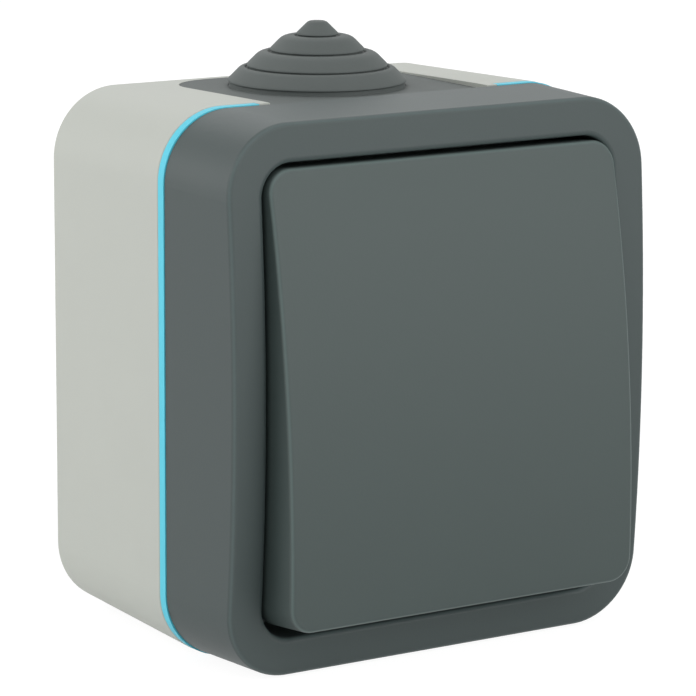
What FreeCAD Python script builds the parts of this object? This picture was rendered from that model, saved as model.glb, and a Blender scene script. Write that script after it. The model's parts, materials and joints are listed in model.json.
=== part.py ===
import FreeCAD, Part
import math
import os
import Sketcher

# Outdoor surface-mounted rocker switch, in millimetres.
# The wall is the plane y = 0, the front faces -Y, +Z is up, and the origin is the
# centre of the back face. A "depth" is a distance from the wall towards the front.

SIZES = [
    ("box_width", 66.0, "width over the rim of the box"),
    ("box_height", 72.46, "height over the rim of the box"),
    ("box_depth", 29.2, "from the wall to the rim"),
    ("box_corner", 9.3, "corner radius at the rim"),
    ("box_draft_x", 0.71, "how much each side comes in at the wall"),
    ("box_draft_z", 0.63, "how much top and bottom come in at the wall"),
    ("box_wall", 2.3, "wall of the box"),
    ("box_floor", 2.6, "floor of the box"),
    ("wall_edge", 0.5, "rounding of the edge at the wall"),
    ("rim_edge", 0.3, "rounding of the box's rim"),
    ("fixing_in_x", 8.0, "wall fixing hole from the side of the rim"),
    ("fixing_in_z", 16.23, "wall fixing hole from the top or bottom of the rim"),
    ("fixing_hole", 5.9, "diameter of a wall fixing hole"),
    ("fixing_seat", 9.6, "diameter of the raised seat of a fixing hole"),
    ("seat_height", 1.0, "height of that seat over the floor"),
    ("gasket_thickness", 1.35, "seal between box and cover"),
    ("gasket_rib", 0.9, "height of the rib on the seal"),
    ("rib_width", 0.8, "width of that rib"),
    ("gasket_inset", 0.05, "how far the seal stays behind the rim"),
    ("notch_depth", 1.3, "how far the seal is notched at the cable entry"),
    ("horn_width", 1.6, "horn of the box on each side of the cable entry's plate"),
    ("fit_gap", 0.1, "gap round pieces that slip into each other"),
    ("shaft_gap", 0.05, "radial gap of a running fit"),
    ("over_cut", 1.0, "how far a cut or a root passes the face where it starts"),
    ("bow_margin", 6.0, "how far the region over a bowed face passes the piece"),
    ("cover_step", 0.15, "how much the cover's rear edge stays inside the rim"),
    ("cover_depth", 15.8, "from the seal to the middle of the cover's front"),
    ("cover_draft_x", 0.78, "how much the cover narrows on each side"),
    ("cover_draft_z", 0.33, "how much the cover narrows at top and bottom"),
    ("cover_corner", 9.3, "corner radius of the cover"),
    ("cover_bow", 322.0, "radius of the bowed front of the cover"),
    ("cover_edge", 0.65, "rounding of the cover's front edge"),
    ("rear_edge", 0.2, "rounding of the cover's rear edge"),
    ("cover_wall", 2.0, "wall of the cover"),
    ("tray_sink", 9.85, "from the middle of the cover's front back to the tray"),
    ("tray_thickness", 1.8, "tray behind the rocker"),
    ("frame_side", 5.9, "from the side of the rim to the rocker opening"),
    ("frame_end", 5.5, "from the top or bottom of the rim to the rocker opening"),
    ("well_corner", 4.5, "corner radius of the rocker opening"),
    ("well_edge", 0.7, "rounding of the rocker opening's edge"),
    ("well_wall", 1.5, "wall round the rocker opening"),
    ("channel_roof", 4.0, "front wall over the channel, measured in the middle of the bow"),
    ("lip_depth", 3.8, "how far the cover's tabs reach into the box"),
    ("lip_wall", 1.4, "thickness of a tab"),
    ("lip_gap", 0.25, "gap between tab and box"),
    ("tab_width", 8.0, "width of a tab"),
    ("tab_in_x", 13.0, "tab at top or bottom, from the side of the rim"),
    ("tab_in_z", 21.23, "tab at a side, from the top or bottom of the rim"),
    ("tab_root", 2.0, "root of a tab"),
    ("cover_screw_in_x", 9.3, "cover screw from the side of the rim"),
    ("cover_screw_in_z", 9.23, "cover screw from the top or bottom of the rim"),
    ("post_radius", 3.3, "post for a cover screw"),
    ("web_width", 1.8, "web from a post to the side wall"),
    ("web_drop", 4.5, "how far a web ends below the rim"),
    ("boss_radius", 3.7, "boss of the cover over a post"),
    ("sink_radius", 3.1, "sink for the screw head"),
    ("sink_depth", 3.2, "depth of that sink below the tray's front"),
    ("screw_radius", 1.45, "shank of a cover or mechanism screw"),
    ("screw_head_radius", 2.8, "head of a cover or mechanism screw"),
    ("screw_head_height", 2.1, "height of that head"),
    ("screw_reach", 9.0, "how far a screw goes into its post"),
    ("slot_width", 0.8, "screwdriver slot"),
    ("slot_depth", 0.9, "depth of that slot"),
    ("slot_turn", 25.0, "turn of the first screw's slot, in degrees"),
    ("slot_step", 50.0, "further turn from one screw's slot to the next, in degrees"),
    ("head_round", 0.6, "rounding of a screw head"),
    ("screw_point", 0.58, "chamfer at the end of a cover or mechanism screw"),
    ("clamp_screw_point", 0.38, "chamfer at the end of a clamp screw"),
    ("rocker_gap_x", 0.37, "gap between rocker and opening at each side"),
    ("rocker_gap_z", 1.26, "gap between rocker and opening at top and bottom"),
    ("rocker_corner", 3.3, "corner radius of the rocker"),
    ("rocker_rise", 11.12, "from the pivot to the middle of the rocker's face"),
    ("rocker_bow", 217.0, "radius of the bowed face of the rocker"),
    ("rocker_edge", 0.6, "rounding of the rocker's edge"),
    ("rocker_shell", 2.0, "thickness of the rocker's face"),
    ("rocker_skirt", 1.5, "thickness of the rocker's skirt"),
    ("skirt_middle", 1.6, "how far the skirt reaches behind the pivot in the middle"),
    ("skirt_end", 1.15, "how far the skirt ends in front of the pivot at its ends"),
    ("ceiling_drop", 2.0, "how much lower the rocker's ceiling is at its ends"),
    ("dome_inset", 1.2, "ledge round the bowed ceiling"),
    ("rib_thickness", 1.2, "ribs inside the rocker"),
    ("rib_drop", 5.2, "height of those ribs"),
    ("rocker_tilt", 5.72, "tilt of the rocker either way, in degrees"),
    ("pivot_rise", 2.9, "pivot axis in front of the tray"),
    ("pin_radius", 1.5, "pivot pins of the lever"),
    ("hub_radius", 3.2, "hub of the lever"),
    ("lever_width", 12.0, "lever between the cheeks"),
    ("head_height", 13.0, "lever's head, up"),
    ("head_rise", 4.6, "from the pivot to the front of the lever's head"),
    ("clip_width", 5.6, "width of a clip arm of the rocker"),
    ("clip_thickness", 1.4, "thickness of a clip arm"),
    ("clip_offset", 4.3, "clip arm's middle from the middle of the lever"),
    ("clip_hook", 0.7, "hook of a clip arm"),
    ("clip_hook_height", 1.2, "height of that hook"),
    ("head_thickness", 2.2, "thickness of the lever's head where the clips hold"),
    ("lever_corner", 1.0, "corner radius of the lever's head and of the block round the clips"),
    ("collar_width", 14.0, "block on the rocker round the clips, across"),
    ("stem_radius", 3.0, "stem of the lever"),
    ("plunger_out", 6.9, "how far the plunger stands out of the stem"),
    ("bore_radius", 1.85, "bore of the stem"),
    ("bore_start", 2.0, "from the pivot to the bottom of the bore"),
    ("plunger_length", 12.9, "plunger from tail to tip"),
    ("plunger_lift", 1.1, "plunger's tip in front of the bridge's axis, measured upright"),
    ("plunger_nose", 1.5, "radius of the plunger's nose"),
    ("plunger_collar", 1.0, "thick part of the plunger outside the stem"),
    ("nose_round", 0.9, "rounding of the plunger's nose"),
    ("spring_wire", 0.36, "wire of the lever's spring"),
    ("spring_radius", 1.3, "mean radius of the lever's spring"),
    ("spring_turns", 5.0, "turns of the lever's spring"),
    ("plate_rim", 1.5, "how far the plate passes the contact chamber block at top and bottom"),
    ("plate_corner", 3.0, "corner radius of the plate"),
    ("plate_thickness", 2.0, "mechanism plate"),
    ("plate_screw_in", 5.0, "mechanism screw from the side of the contact chamber block"),
    ("plate_screw_out", 4.5, "mechanism screw above or below the contact chamber block"),
    ("ear_root", 6.0, "how far an ear runs back over the plate"),
    ("ear_radius", 4.0, "ear of the plate round a screw"),
    ("ear_corner", 3.6, "corner radius of an ear"),
    ("plate_post", 3.1, "radius of a post for a mechanism screw"),
    ("neck_width", 18.4, "neck of the plate across"),
    ("neck_height", 26.0, "neck of the plate up"),
    ("neck_corner", 3.0, "corner radius of the neck"),
    ("neck_wall", 1.5, "wall of the neck"),
    ("neck_reach", 1.3, "how far the neck stands in front of the tray"),
    ("cheek_thickness", 2.2, "bearing cheek"),
    ("cheek_height", 9.0, "bearing cheek, up"),
    ("cheek_rise", 3.2, "cheek in front of the pivot"),
    ("cheek_round", 2.7, "rounding of a cheek's end"),
    ("cheek_gap", 0.2, "gap between lever and cheek"),
    ("neck_gap", 0.3, "gap between neck and cover"),
    ("collar_wall", 2.4, "width of the seal round the neck"),
    ("arm_width", 10.0, "snap arm of the plate"),
    ("arm_thickness", 1.5, "thickness of a snap arm"),
    ("arm_length", 7.0, "length of a snap arm"),
    ("arm_hook", 0.8, "hook of a snap arm"),
    ("hook_slope", 0.6, "sloped part of that hook"),
    ("hook_length", 1.6, "length of that hook"),
    ("base_in", 13.0, "contact chamber block from the side of the rim"),
    ("base_height", 40.0, "contact chamber block up"),
    ("base_depth", 18.7, "contact chamber block, wall side to plate"),
    ("base_floor", 2.5, "floor of the contact chamber"),
    ("base_corner", 2.0, "corner radius of the contact chamber block"),
    ("chamber_width", 10.0, "middle chamber across"),
    ("chamber_height", 29.0, "middle chamber up"),
    ("chamber_corner", 1.0, "corner radius of the middle chamber"),
    ("pocket_in", 5.7, "terminal pocket's middle from the side of the block"),
    ("pocket_z", 10.0, "terminal's middle, up"),
    ("pocket_width", 8.0, "terminal pocket across"),
    ("pocket_low", -4.0, "lower end of the terminal pockets"),
    ("pocket_high", 15.0, "upper end of the terminal pockets"),
    ("wire_radius", 1.5, "wire entry"),
    ("clamp_width", 7.0, "terminal clamp across"),
    ("clamp_height", 8.0, "terminal clamp up"),
    ("clamp_depth", 8.0, "terminal clamp, front to back"),
    ("clamp_corner", 0.8, "corner radius of a terminal clamp and of its pocket"),
    ("clamp_screw_end", 0.8, "how far a clamp screw ends before the end of its hole"),
    ("clamp_screw_radius", 1.5, "shank of a clamp screw"),
    ("clamp_head_radius", 2.2, "head of a clamp screw"),
    ("clamp_head_height", 1.8, "height of that head"),
    ("access_radius", 2.5, "screwdriver hole in the plate"),
    ("strip_thickness", 0.8, "contact strips"),
    ("strip_width", 5.0, "contact strips"),
    ("fulcrum_rise", 2.6, "bridge's axis in front of the common contact's strip"),
    ("fulcrum_height", 5.2, "fulcrum block, up"),
    ("fulcrum_relief", 0.5, "how far the fulcrum block ends behind the bridge's axis"),
    ("fulcrum_width", 5.0, "fulcrum block, across"),
    ("bridge_pin", 1.5, "round underside of the bridge"),
    ("bridge_width", 4.6, "contact bridge across"),
    ("bridge_reach", 11.8, "half length of the contact bridge"),
    ("bridge_thickness", 0.9, "strip of the contact bridge"),
    ("bridge_wing", 0.62, "rise of the bridge's wings"),
    ("wing_reach", 3.2, "crest of a wing from the middle"),
    ("wing_foot", 5.2, "foot of a wing from the middle"),
    ("bridge_tilt", 5.0, "tilt of the bridge either way, in degrees"),
    ("tip_radius", 1.4, "contact rivets"),
    ("tip_round", 0.25, "rounding of a rivet's face"),
    ("tip_place", 9.6, "contact rivets from the middle"),
    ("moving_tip_height", 0.7, "rivet on the bridge"),
    ("contact_gap", 0.06, "gap left between closed rivets"),
    ("grommet_depth", 15.0, "depth of the cable entry's axis"),
    ("plate_half", 17.0, "half width of the cable entry's plate"),
    ("plate_back", 1.9, "depth of the back edge of that plate"),
    ("plate_round", 7.5, "corner radius of that plate"),
    ("plate_seat", 0.15, "how far that plate stands into the box"),
    ("flange_reach", 1.4, "flange of the plate behind the wall"),
    ("flange_thickness", 1.2, "thickness of that flange"),
    ("flange_end", 3.9, "how far the flange ends below the rim"),
    ("step1_radius", 12.0, "first step of the cable entry"),
    ("step2_radius", 9.44, "second step"),
    ("step3_radius", 6.33, "third step"),
    ("tip_base_radius", 2.82, "tip of the cable entry"),
    ("step1_top", 2.58, "top of the first step over the plate"),
    ("step2_top", 4.88, "top of the second step"),
    ("step3_top", 7.03, "top of the third step"),
    ("tip_top", 8.83, "top of the tip"),
    ("tip_end_radius", 1.27, "flat end of the tip"),
    ("step_rim", 0.45, "upright rim at the foot of each step"),
    ("step_shoulder", 1.95, "how far each step's cone comes in"),
    ("step_round", 0.5, "rounding of each shoulder"),
    ("skin", 1.1, "thickness of the cable entry's skin"),
    ("earth_z", 27.0, "earth terminal below the middle"),
    ("earth_width", 9.0, "earth terminal across"),
    ("earth_height", 6.4, "earth terminal up"),
    ("earth_depth", 8.0, "earth terminal, front to back"),
    ("earth_rib", 1.2, "frame round the earth terminal"),
    ("earth_rib_height", 2.4, "height of that frame"),
]


class Dim:
    """A length with both its number and the sheet expression that drives it."""

    def __init__(self, number, text):
        self.number = float(number)
        self.text = text

    def __float__(self):
        return self.number

    def __add__(self, other):
        other = dim(other)
        return Dim(self.number + other.number, "(%s + %s)" % (self.text, other.text))

    def __sub__(self, other):
        other = dim(other)
        return Dim(self.number - other.number, "(%s - %s)" % (self.text, other.text))

    def __mul__(self, other):
        other = dim(other)
        return Dim(self.number * other.number, "%s * %s" % (self.text, other.text))

    def __truediv__(self, other):
        other = dim(other)
        return Dim(self.number / other.number, "%s / %s" % (self.text, other.text))

    def __neg__(self):
        return Dim(-self.number, "(0 - %s)" % self.text)

    def __radd__(self, other):
        return dim(other) + self

    def __rsub__(self, other):
        return dim(other) - self

    def __rmul__(self, other):
        return dim(other) * self


def dim(value):
    if isinstance(value, Dim):
        return value
    return Dim(value, "(%r)" % float(value))


class Sizes:
    """Reads the sheet: sizes.box_wall is the size with that alias."""

    def __init__(self, sheet):
        self.sheet = sheet

    def __getattr__(self, alias):
        return Dim(self.sheet.get(alias), "Sizes." + alias)


doc = FreeCAD.newDocument("outdoor_switch")
sheet = doc.addObject("Spreadsheet::Sheet", "Sizes")
for row, (alias, value, note) in enumerate(SIZES, start=1):
    sheet.set("A%d" % row, note)
    sheet.set("B%d" % row, str(value))
    sheet.setAlias("B%d" % row, alias)
doc.recompute()
sizes = Sizes(sheet)

ORIGIN_POINT = (-1, 1)
parts = []


def bind(thing, path, value):
    thing.setExpression(path, dim(value).text)


def new_body(label):
    body = doc.addObject("PartDesign::Body", label)
    body.Label = label
    parts.append(body)
    return body


def place(thing, x=0.0, y=0.0, z=0.0, tilt=None, axis=(1, 0, 0)):
    """Moves a finished piece, turned by tilt degrees about a line through its own origin."""
    spin = FreeCAD.Rotation(FreeCAD.Vector(*axis), float(dim(tilt or 0.0)))
    base = FreeCAD.Vector(float(dim(x)), float(dim(y)), float(dim(z)))
    thing.Placement = FreeCAD.Placement(base, spin)
    bind(thing, "Placement.Base.x", x)
    bind(thing, "Placement.Base.y", y)
    bind(thing, "Placement.Base.z", z)
    if tilt is not None:
        bind(thing, "Placement.Rotation.Angle", tilt)


def new_sketch(body, name, role, offset=0.0):
    """A sketch on one of the body's own planes, moved along that plane's normal."""
    sketch = body.newObject("Sketcher::SketchObject", body.Label + "_" + name)
    plane = [item for item in body.Origin.OriginFeatures if item.Role == role][0]
    sketch.AttachmentSupport = (plane, [""])
    sketch.MapMode = "FlatFace"
    sketch.AttachmentOffset = FreeCAD.Placement(
        FreeCAD.Vector(0, 0, float(dim(offset))), FreeCAD.Rotation())
    bind(sketch, "AttachmentOffset.Base.z", offset)
    return sketch


def drive(sketch, constraint, value):
    """Adds a driving constraint and binds it to the sheet."""
    index = sketch.addConstraint(constraint)
    name = "size_%d" % index
    sketch.renameConstraint(index, name)
    bind(sketch, "Constraints." + name, value)


def fix_point(sketch, edge, end, x, y):
    """Holds a point at x, y from the sketch's origin."""
    for kind, value in (("DistanceX", x), ("DistanceY", y)):
        if value is None:
            continue
        value = dim(value)
        if value.number >= 0:
            drive(sketch, Sketcher.Constraint(kind, *ORIGIN_POINT, edge, end, value.number), value)
        else:
            drive(sketch, Sketcher.Constraint(kind, edge, end, *ORIGIN_POINT, -value.number), -value)


def add_rectangle(sketch, half_w, half_h, radius, x=0.0, y=0.0):
    """A rounded rectangle centred at x, y."""
    left, right = dim(x) - half_w, dim(x) + half_w
    low, high = dim(y) - half_h, dim(y) + half_h
    corners = [(right, high, 0), (left, high, 90), (left, low, 180), (right, low, 270)]
    round_r = float(dim(radius))
    arcs = []
    for corner_x, corner_y, turn in corners:
        side_x = -1 if corner_x is right else 1
        side_y = -1 if corner_y is high else 1
        centre = FreeCAD.Vector(float(corner_x) + side_x * round_r, float(corner_y) + side_y * round_r, 0)
        circle = Part.Circle(centre, FreeCAD.Vector(0, 0, 1), round_r)
        start = math.radians(turn)
        arcs.append(sketch.addGeometry(Part.ArcOfCircle(circle, start, start + math.pi / 2), False))
    lines = []
    for index, arc in enumerate(arcs):
        following = arcs[(index + 1) % 4]
        start = sketch.getPoint(arc, 2)
        end = sketch.getPoint(following, 1)
        line = sketch.addGeometry(Part.LineSegment(start, end), False)
        sketch.addConstraint(Sketcher.Constraint("Tangent", arc, 2, line, 1))
        sketch.addConstraint(Sketcher.Constraint("Tangent", line, 2, following, 1))
        sketch.addConstraint(Sketcher.Constraint("Vertical" if index % 2 else "Horizontal", line))
        lines.append(line)
    for arc in arcs[1:]:
        sketch.addConstraint(Sketcher.Constraint("Equal", arcs[0], arc))
    drive(sketch, Sketcher.Constraint("Radius", arcs[0], round_r), radius)
    fix_point(sketch, lines[0], 1, None, high)
    fix_point(sketch, lines[1], 1, left, None)
    fix_point(sketch, lines[2], 1, None, low)
    fix_point(sketch, lines[3], 1, right, None)


def add_circle(sketch, x, y, radius):
    centre = FreeCAD.Vector(float(dim(x)), float(dim(y)), 0)
    circle = sketch.addGeometry(Part.Circle(centre, FreeCAD.Vector(0, 0, 1), float(dim(radius))), False)
    drive(sketch, Sketcher.Constraint("Radius", circle, float(dim(radius))), radius)
    fix_point(sketch, circle, 3, x, y)


def add_polygon(sketch, points):
    """A closed outline of straight lines through the given points."""
    count = len(points)
    edges = []
    for index, point in enumerate(points):
        following = points[(index + 1) % count]
        start = FreeCAD.Vector(float(dim(point[0])), float(dim(point[1])), 0)
        end = FreeCAD.Vector(float(dim(following[0])), float(dim(following[1])), 0)
        edges.append(sketch.addGeometry(Part.LineSegment(start, end), False))
    for index, edge in enumerate(edges):
        sketch.addConstraint(Sketcher.Constraint("Coincident", edge, 2, edges[(index + 1) % count], 1))
        fix_point(sketch, edge, 1, points[index][0], points[index][1])


def add_bowed_region(sketch, front, radius, half, far):
    """The region between an arc whose middle is at x = -front, bulging towards -x, and x = -far."""
    front, radius, half, far = dim(front), dim(radius), dim(half), dim(far)
    centre_x = radius - front
    sag = radius.number - math.sqrt(radius.number ** 2 - half.number ** 2)
    swing = math.asin(half.number / radius.number)
    circle = Part.Circle(FreeCAD.Vector(centre_x.number, 0, 0), FreeCAD.Vector(0, 0, 1), radius.number)
    arc = sketch.addGeometry(Part.ArcOfCircle(circle, math.pi - swing, math.pi + swing), False)
    near_x = sag - front.number
    corners = [(near_x, -half.number), (-far.number, -half.number),
               (-far.number, half.number), (near_x, half.number)]
    lines = []
    for start, end in zip(corners, corners[1:]):
        segment = Part.LineSegment(FreeCAD.Vector(*start, 0), FreeCAD.Vector(*end, 0))
        lines.append(sketch.addGeometry(segment, False))
    sketch.addConstraint(Sketcher.Constraint("Coincident", arc, 2, lines[0], 1))
    sketch.addConstraint(Sketcher.Constraint("Coincident", lines[0], 2, lines[1], 1))
    sketch.addConstraint(Sketcher.Constraint("Coincident", lines[1], 2, lines[2], 1))
    sketch.addConstraint(Sketcher.Constraint("Coincident", lines[2], 2, arc, 1))
    sketch.addConstraint(Sketcher.Constraint("Horizontal", lines[0]))
    sketch.addConstraint(Sketcher.Constraint("Horizontal", lines[2]))
    drive(sketch, Sketcher.Constraint("Radius", arc, radius.number), radius)
    fix_point(sketch, arc, 3, centre_x, 0.0)
    fix_point(sketch, lines[1], 1, -far, -half)
    fix_point(sketch, lines[1], 2, -far, half)


def finish_feature(body, feature):
    """Recomputes, and makes sure that the feature really changed the solid."""
    before = body.Shape.Volume if not body.Shape.isNull() else 0.0
    doc.recompute()
    if "Invalid" in feature.State or "Error" in feature.State or body.Shape.isNull():
        raise RuntimeError("feature failed: %s %s" % (feature.Name, feature.State))
    if abs(body.Shape.Volume - before) < 1e-6:
        raise RuntimeError("feature changed nothing: " + feature.Name)
    return feature


def pad(body, sketch, length, reverse=False, middle=False):
    feature = body.newObject("PartDesign::Pad", sketch.Name + "_pad")
    feature.Profile = sketch
    feature.Length = float(dim(length))
    bind(feature, "Length", length)
    feature.Reversed = reverse
    feature.SideType = "Symmetric" if middle else "One side"
    return finish_feature(body, feature)


def pocket(body, sketch, length, reverse=False, middle=False):
    feature = body.newObject("PartDesign::Pocket", sketch.Name + "_pocket")
    feature.Profile = sketch
    feature.Length = float(dim(length))
    bind(feature, "Length", length)
    feature.Reversed = reverse
    feature.SideType = "Symmetric" if middle else "One side"
    return finish_feature(body, feature)


def loft(body, sketches, cut=False):
    kind = "PartDesign::SubtractiveLoft" if cut else "PartDesign::AdditiveLoft"
    feature = body.newObject(kind, sketches[0].Name + "_loft")
    feature.Profile = sketches[0]
    feature.Sections = sketches[1:]
    feature.Ruled = True
    return finish_feature(body, feature)


def revolve(body, sketch, axis="V_Axis"):
    feature = body.newObject("PartDesign::Revolution", sketch.Name + "_turn")
    feature.Profile = sketch
    feature.ReferenceAxis = (sketch, [axis])
    feature.Angle = 360.0
    return finish_feature(body, feature)


def groove(body, sketch, axis="V_Axis"):
    feature = body.newObject("PartDesign::Groove", sketch.Name + "_groove")
    feature.Profile = sketch
    feature.ReferenceAxis = (sketch, [axis])
    feature.Angle = 360.0
    return finish_feature(body, feature)


def fillet(body, radius, chosen):
    """Rounds the edges of the body's last feature that the test picks out."""
    base = body.Tip
    names = ["Edge%d" % (index + 1) for index, edge in enumerate(base.Shape.Edges) if chosen(edge)]
    feature = body.newObject("PartDesign::Fillet", base.Name + "_round")
    feature.Base = (base, names)
    feature.Radius = float(dim(radius))
    bind(feature, "Radius", radius)
    return finish_feature(body, feature)


# depths and half sizes that several pieces share
seal_depth = sizes.box_depth + sizes.gasket_thickness
front_depth = seal_depth + sizes.cover_depth
tray_front = front_depth - sizes.tray_sink
tray_back = tray_front - sizes.tray_thickness
pivot_depth = tray_front + sizes.pivot_rise
plate_front = sizes.box_depth + sizes.plate_thickness
neck_rise = tray_front + sizes.neck_reach - plate_front
base_back = sizes.box_depth - sizes.base_depth
strip_back = base_back + sizes.base_floor
strip_front = strip_back + sizes.strip_thickness
clamp_front = strip_front + sizes.clamp_depth
fulcrum_depth = strip_front + sizes.fulcrum_rise
plunger_tip = pivot_depth - fulcrum_depth - sizes.plunger_lift
plunger_tail = plunger_tip - sizes.plunger_length
stem_reach = plunger_tip - sizes.plunger_out
rim_x = sizes.box_width / 2
rim_z = sizes.box_height / 2
back_x = rim_x - sizes.box_draft_x
back_z = rim_z - sizes.box_draft_z
top_slope = sizes.box_draft_z / sizes.box_depth
plate_top = back_z + top_slope * sizes.plate_back
inner_corner = sizes.box_corner - sizes.box_wall
cover_x = rim_x - sizes.cover_step
cover_z = rim_z - sizes.cover_step
well_x = rim_x - sizes.frame_side
well_z = rim_z - sizes.frame_end
rocker_x = well_x - sizes.rocker_gap_x
rocker_z = well_z - sizes.rocker_gap_z
cover_screw_x = rim_x - sizes.cover_screw_in_x
cover_screw_z = rim_z - sizes.cover_screw_in_z
fixing_x = rim_x - sizes.fixing_in_x
fixing_z = rim_z - sizes.fixing_in_z
base_x = rim_x - sizes.base_in
base_z = sizes.base_height / 2
plate_z = base_z + sizes.plate_rim
plate_screw_x = base_x - sizes.plate_screw_in
plate_screw_z = base_z + sizes.plate_screw_out
pocket_x = base_x - sizes.pocket_in
neck_hole_x = sizes.neck_width / 2 + sizes.neck_gap
neck_hole_z = sizes.neck_height / 2 + sizes.neck_gap
neck_hole_corner = sizes.neck_corner + sizes.neck_gap
screw_hole = sizes.screw_radius + sizes.shaft_gap
POST_SIGNS = [(-1, -1), (1, -1), (1, 1), (-1, 1)]
PLATE_SIGNS = [(-1, 1), (1, -1)]


def box_outlines(body, name, inset, start, end):
    """Two outlines of the drafted box, inset from its outer faces, at two depths."""
    sketches = []
    for index, depth in enumerate((start, end)):
        share = dim(depth) / sizes.box_depth
        half_x = back_x + sizes.box_draft_x * share - inset
        half_z = back_z + sizes.box_draft_z * share - inset
        sketch = new_sketch(body, "%s_%d" % (name, index), "XZ_Plane", depth)
        add_rectangle(sketch, half_x, half_z, sizes.box_corner - inset)
        sketches.append(sketch)
    return sketches


def make_rear_box():
    body = new_body("rear_box")
    loft(body, box_outlines(body, "outside", 0.0, 0.0, sizes.box_depth))
    fillet(body, sizes.wall_edge, lambda edge: abs(edge.BoundBox.YMin) < 1e-3
           and edge.BoundBox.YLength < 1e-3)
    fillet(body, sizes.rim_edge, lambda edge: abs(edge.BoundBox.YMin + sizes.box_depth.number) < 1e-3
           and edge.BoundBox.YLength < 1e-3)
    loft(body, box_outlines(body, "inside", sizes.box_wall, sizes.box_floor, sizes.box_depth), cut=True)

    posts = new_sketch(body, "cover_posts", "XZ_Plane", sizes.box_floor)
    for sign_x, sign_z in POST_SIGNS:
        add_circle(posts, cover_screw_x * sign_x, cover_screw_z * sign_z, sizes.post_radius)
    pad(body, posts, sizes.box_depth - sizes.box_floor)

    webs = new_sketch(body, "webs", "XZ_Plane", sizes.box_floor)
    web_start = cover_screw_x + sizes.post_radius / 2
    web_end = back_x - sizes.box_wall / 2
    for sign_x, sign_z in POST_SIGNS:
        low = cover_screw_z * sign_z - sizes.web_width / 2
        high = cover_screw_z * sign_z + sizes.web_width / 2
        add_polygon(webs, [(web_start * sign_x, low), (web_end * sign_x, low),
                           (web_end * sign_x, high), (web_start * sign_x, high)])
    pad(body, webs, sizes.box_depth - sizes.box_floor - sizes.web_drop)

    plate_posts = new_sketch(body, "plate_posts", "XZ_Plane", sizes.box_floor)
    for sign_x, sign_z in PLATE_SIGNS:
        add_circle(plate_posts, plate_screw_x * sign_x, plate_screw_z * sign_z, sizes.plate_post)
    pad(body, plate_posts, sizes.box_depth - sizes.box_floor)

    seats = new_sketch(body, "fixing_seats", "XZ_Plane", sizes.box_floor)
    for sign_x, sign_z in POST_SIGNS:
        add_circle(seats, fixing_x * sign_x, fixing_z * sign_z, sizes.fixing_seat / 2)
    pad(body, seats, sizes.seat_height)

    frame = new_sketch(body, "earth_frame", "XZ_Plane", sizes.box_floor)
    inner_x = sizes.earth_width / 2 + sizes.fit_gap
    inner_z = sizes.earth_height / 2 + sizes.fit_gap
    for half_x, half_z in ((inner_x + sizes.earth_rib, inner_z + sizes.earth_rib), (inner_x, inner_z)):
        add_polygon(frame, [(-half_x, -sizes.earth_z - half_z), (half_x, -sizes.earth_z - half_z),
                            (half_x, -sizes.earth_z + half_z), (-half_x, -sizes.earth_z + half_z)])
    pad(body, frame, sizes.earth_rib_height)

    screw_holes = new_sketch(body, "screw_holes", "XZ_Plane", sizes.box_depth)
    for sign_x, sign_z in POST_SIGNS:
        add_circle(screw_holes, cover_screw_x * sign_x, cover_screw_z * sign_z, screw_hole)
    for sign_x, sign_z in PLATE_SIGNS:
        add_circle(screw_holes, plate_screw_x * sign_x, plate_screw_z * sign_z, screw_hole)
    pocket(body, screw_holes, sizes.screw_reach + sizes.over_cut)

    fixings = new_sketch(body, "fixing_holes", "XZ_Plane", sizes.box_floor + sizes.seat_height)
    for sign_x, sign_z in POST_SIGNS:
        add_circle(fixings, fixing_x * sign_x, fixing_z * sign_z, sizes.fixing_hole / 2)
    pocket(body, fixings, sizes.box_floor + sizes.seat_height)

    # horns that pass the seal on both sides of the cable entry's plate
    horns = new_sketch(body, "horns", "XZ_Plane", sizes.box_depth - sizes.rim_edge)
    horn_low = rim_z - sizes.notch_depth + sizes.shaft_gap
    horn_high = rim_z - top_slope * sizes.rim_edge
    near = sizes.plate_half - sizes.over_cut
    far = sizes.plate_half + sizes.horn_width
    for sign in (-1, 1):
        add_polygon(horns, [(near * sign, horn_low), (far * sign, horn_low),
                            (far * sign, horn_high), (near * sign, horn_high)])
    pad(body, horns, sizes.rim_edge + sizes.gasket_thickness - sizes.shaft_gap)

    slot = new_sketch(body, "cable_slot", "XY_Plane", back_z - sizes.box_wall - sizes.plate_seat)
    slot_front = sizes.box_depth + sizes.plate_round * 2
    add_rectangle(slot, sizes.plate_half, (slot_front - sizes.plate_back) / 2, sizes.plate_round,
                  0.0, -(slot_front + sizes.plate_back) / 2)
    pocket(body, slot, sizes.box_wall * 2, reverse=True)
    return body


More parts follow.
